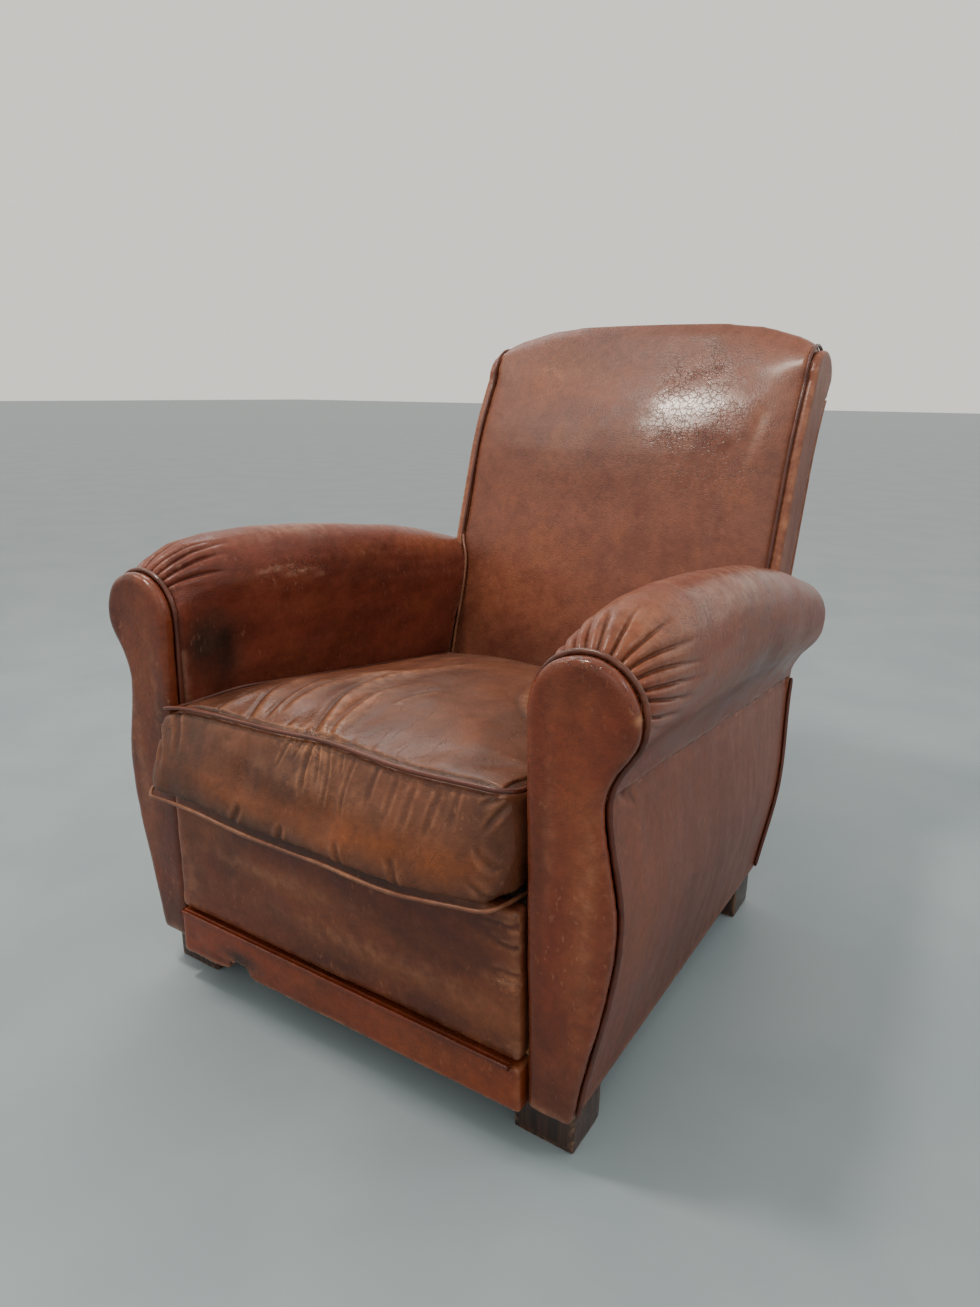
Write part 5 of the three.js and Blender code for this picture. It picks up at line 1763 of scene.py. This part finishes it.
@dataclass
class Studio:
    """Camera, lights, floor and sky.

    Attributes:
        eye: Where the camera stands.
        yaw: How far it is turned from looking along +Y, in degrees.
        pitch: How far it looks down.
        roll: How far it leans.
        focal: Focal length in pixels of the photograph.
        height: The photograph's long side in pixels.
        sky: Colour of the pale room all round.
        sky_strength: How bright it is.
        floor_reach: How far the floor goes each way, in metres.
        lamps: Each lamp's name, place, aim, width, watts and colour.
    """

    eye: tuple[float, float, float] = (0.6076, -1.0278, 0.7421)
    yaw: float = -32.84
    pitch: float = 16.74
    roll: float = 0.61
    focal: float = 879.8
    height: float = 1307.0
    sky: str = "#eae6de"
    sky_strength: float = 1.25
    floor_reach: float = 40.0
    lamps: tuple = (
        ("ceiling_lamp", (-0.52, -0.72, 2.57), (0.1, 0.1, 0.5), 0.3, 34, "#fff4e6"),
        ("second_ceiling_lamp", (-1.51, -0.83, 2.11), (0, -0.3, 0.4), 0.9, 8, "#fff2e6"),
        ("left_lamp", (-1.25, 0.86, 2.24), (0, 0, 0.4), 0.7, 6, "#ffffff"),
        ("right_lamp", (2.1, 0.5, 2.4), (0, 0, 0.4), 0.6, 10, "#ffffff"),
        ("front_lamp", (0.9, -2.6, 2.2), (0, 0, 0.4), 1.4, 5, "#ffffff"),
    )

    def camera(self) -> None:
        """Stand the camera where the photograph was taken."""
        yaw, pitch, roll = (math.radians(v) for v in (self.yaw, self.pitch, self.roll))
        ahead = Vector((math.sin(yaw) * math.cos(pitch), math.cos(yaw) * math.cos(pitch), -math.sin(pitch)))
        level = Vector((math.cos(yaw), -math.sin(yaw), 0))
        up = level.cross(ahead)
        right = math.cos(roll) * level + math.sin(roll) * up
        top = math.cos(roll) * up - math.sin(roll) * level
        data = bpy.data.cameras.new("camera")
        data.sensor_width = 36
        data.lens = self.focal / self.height * data.sensor_width
        camera = bpy.data.objects.new("camera", data)
        turn = Matrix((right, top, -ahead)).transposed().to_4x4()
        camera.matrix_world = Matrix.Translation(self.eye) @ turn
        bpy.context.scene.collection.objects.link(camera)
        bpy.context.scene.camera = camera

    def lamp(self, name: str, place: Sequence[float], aim: Sequence[float], size: float, watts: float,
             colour: str) -> None:
        """Hang one soft lamp.

        Args:
            name: Its name.
            place: Where it hangs.
            aim: What it points at.
            size: Its width in metres.
            watts: Its power.
            colour: The colour of its light.
        """
        data = bpy.data.lights.new(name, "AREA")
        data.shape = "DISK"
        data.size = size
        data.energy = watts
        data.color = linear(colour)[:3]
        lamp = bpy.data.objects.new(name, data)
        lamp.location = place
        lamp.rotation_euler = (Vector(aim) - Vector(place)).to_track_quat("-Z", "Y").to_euler()
        bpy.context.scene.collection.objects.link(lamp)

    def floor(self) -> None:
        """Lay the floor."""
        mesh = bpy.data.meshes.new("floor")
        bm = bmesh.new()
        bmesh.ops.create_grid(bm, x_segments=1, y_segments=1, size=self.floor_reach)
        bm.to_mesh(mesh)
        bm.free()
        floor = bpy.data.objects.new("floor", mesh)
        mesh.materials.append(painted_floor())
        bpy.context.scene.collection.objects.link(floor)

    def build(self) -> None:
        """Set up the studio."""
        self.camera()
        self.floor()
        world = bpy.data.worlds.new("pale_room")
        world.use_nodes = True
        background = world.node_tree.nodes["Background"]
        background.inputs[0].default_value = linear(self.sky)
        background.inputs[1].default_value = self.sky_strength
        bpy.context.scene.world = world
        for lamp in self.lamps:
            self.lamp(*lamp)


RIGHT_PLEATS = (
    (-60, 22, -70, 70), (-46, 22, -58, 74), (-33, 22, -47, 78), (-20, 23, -36, 82), (-8, 24, -24, 84),
    (4, 24, -10, 86), (15, 24, 8, 96), (26, 23, 27, 122), (37, 23, 45, 150), (48, 23, 66, 160),
    (58, 24, 84, 160), (69, 25, 101, 150), (84, 25, 116, 120),
)
LEFT_PLEATS = (
    (-8, 24, -17, 104), (-20, 24, -22, 130), (-32, 23, -31, 122), (-44, 22, -47, 108), (5, 26, -2, 96),
    (18, 28, 14, 92), (32, 24, 34, 100), (48, 24, 56, 114), (64, 24, 78, 104), (80, 24, 102, 84),
)
RIGHT_SPOTS = {
    "tone": (Patch((290, -372, 545), (50, 16, 30), -0.1), Patch((250, -100, 400), (30, 260, 90), -0.3),
             Patch((330, 230, 480), (40, 50, 60), -0.15), Patch((320, 60, 545), (60, 160, 30), 0.12)),
    "warm": (Patch((325, -320, 545), (70, 70, 60), 0.8), Patch((345, -190, 460), (30, 140, 50), 0.35)),
    "wear": (Patch((320, -345, 545), (50, 26, 30), 0.12), Patch((325, -40, 540), (34, 220, 20), 0.3),
             Patch((300, 120, 555), (60, 110, 18), 0.25)),
    "dirt": (Patch((300, 20, 548), (60, 200, 30), 0.2), Patch((345, 120, 440), (20, 160, 40), 0.25)),
    "cracks": (Patch((320, -240, 540), (60, 110, 40), 0.5), Patch((320, 60, 520), (60, 160, 40), 0.3)),
}
LEFT_SPOTS = {
    # The last tone patch, a lighter strip along the top of the roll, is a painted sheen
    "tone": (Patch((-244, -356, 436), (20, 18, 34), -0.6), Patch((-245, -318, 430), (20, 15, 30), -1.1),
             Patch((-245, -330, 396), (20, 17, 18), -0.8), Patch((-246, -250, 372), (20, 130, 16), -0.4),
             Patch((-300, 200, 500), (60, 60, 60), -0.15), Patch((-290, -150, 552), (60, 200, 20), 0.2)),
    "warm": (Patch((-300, -300, 560), (50, 60, 20), 0.15), Patch((-260, 160, 500), (30, 60, 20), 0.5)),
    # The first three wear patches, on the inside of the roll, are a scuff: partly rubbed hide, partly
    # painted highlight
    "wear": (Patch((-247, -225, 513), (14, 26, 3), 0.7), Patch((-246, -180, 503), (12, 24, 3), 0.7),
             Patch((-245, -150, 494), (10, 20, 3), 0.35),
             Patch((-290, -120, 556), (50, 120, 10), 0.25)),
    # The last dirt patch, along the top of the roll, is partly grime and partly a painted grey sheen
    "dirt": (Patch((-244, -324, 422), (24, 26, 44), 0.9), Patch((-244, -356, 440), (24, 20, 40), 0.8),
             Patch((-300, -60, 556), (60, 260, 18), 0.4)),
    "cracks": (Patch((-250, -190, 508), (24, 70, 16), 0.9), Patch((-250, 0, 480), (30, 200, 50), 0.25)),
}


def main() -> None:
    """Build the chair piece by piece."""
    logging.basicConfig(level=logging.INFO, format="%(name)s %(message)s")
    Studio().build()
    finish = Finishes()
    Inside().build(finish)
    for node in ("front_foot_left", "front_foot_right", "rear_foot_left", "rear_foot_right"):
        Foot(node).build(finish)
    BackRest().build(finish)
    Arm(Side.LEFT, LEFT_PLEATS, LEFT_SPOTS, facing_tone=-0.38).build(finish)
    Arm(Side.RIGHT, RIGHT_PLEATS, RIGHT_SPOTS).build(finish)
    SeatFront().build(finish)
    SeatCushion().build(finish)
    bpy.context.view_layer.update()


if __name__ == "__main__":
    main()
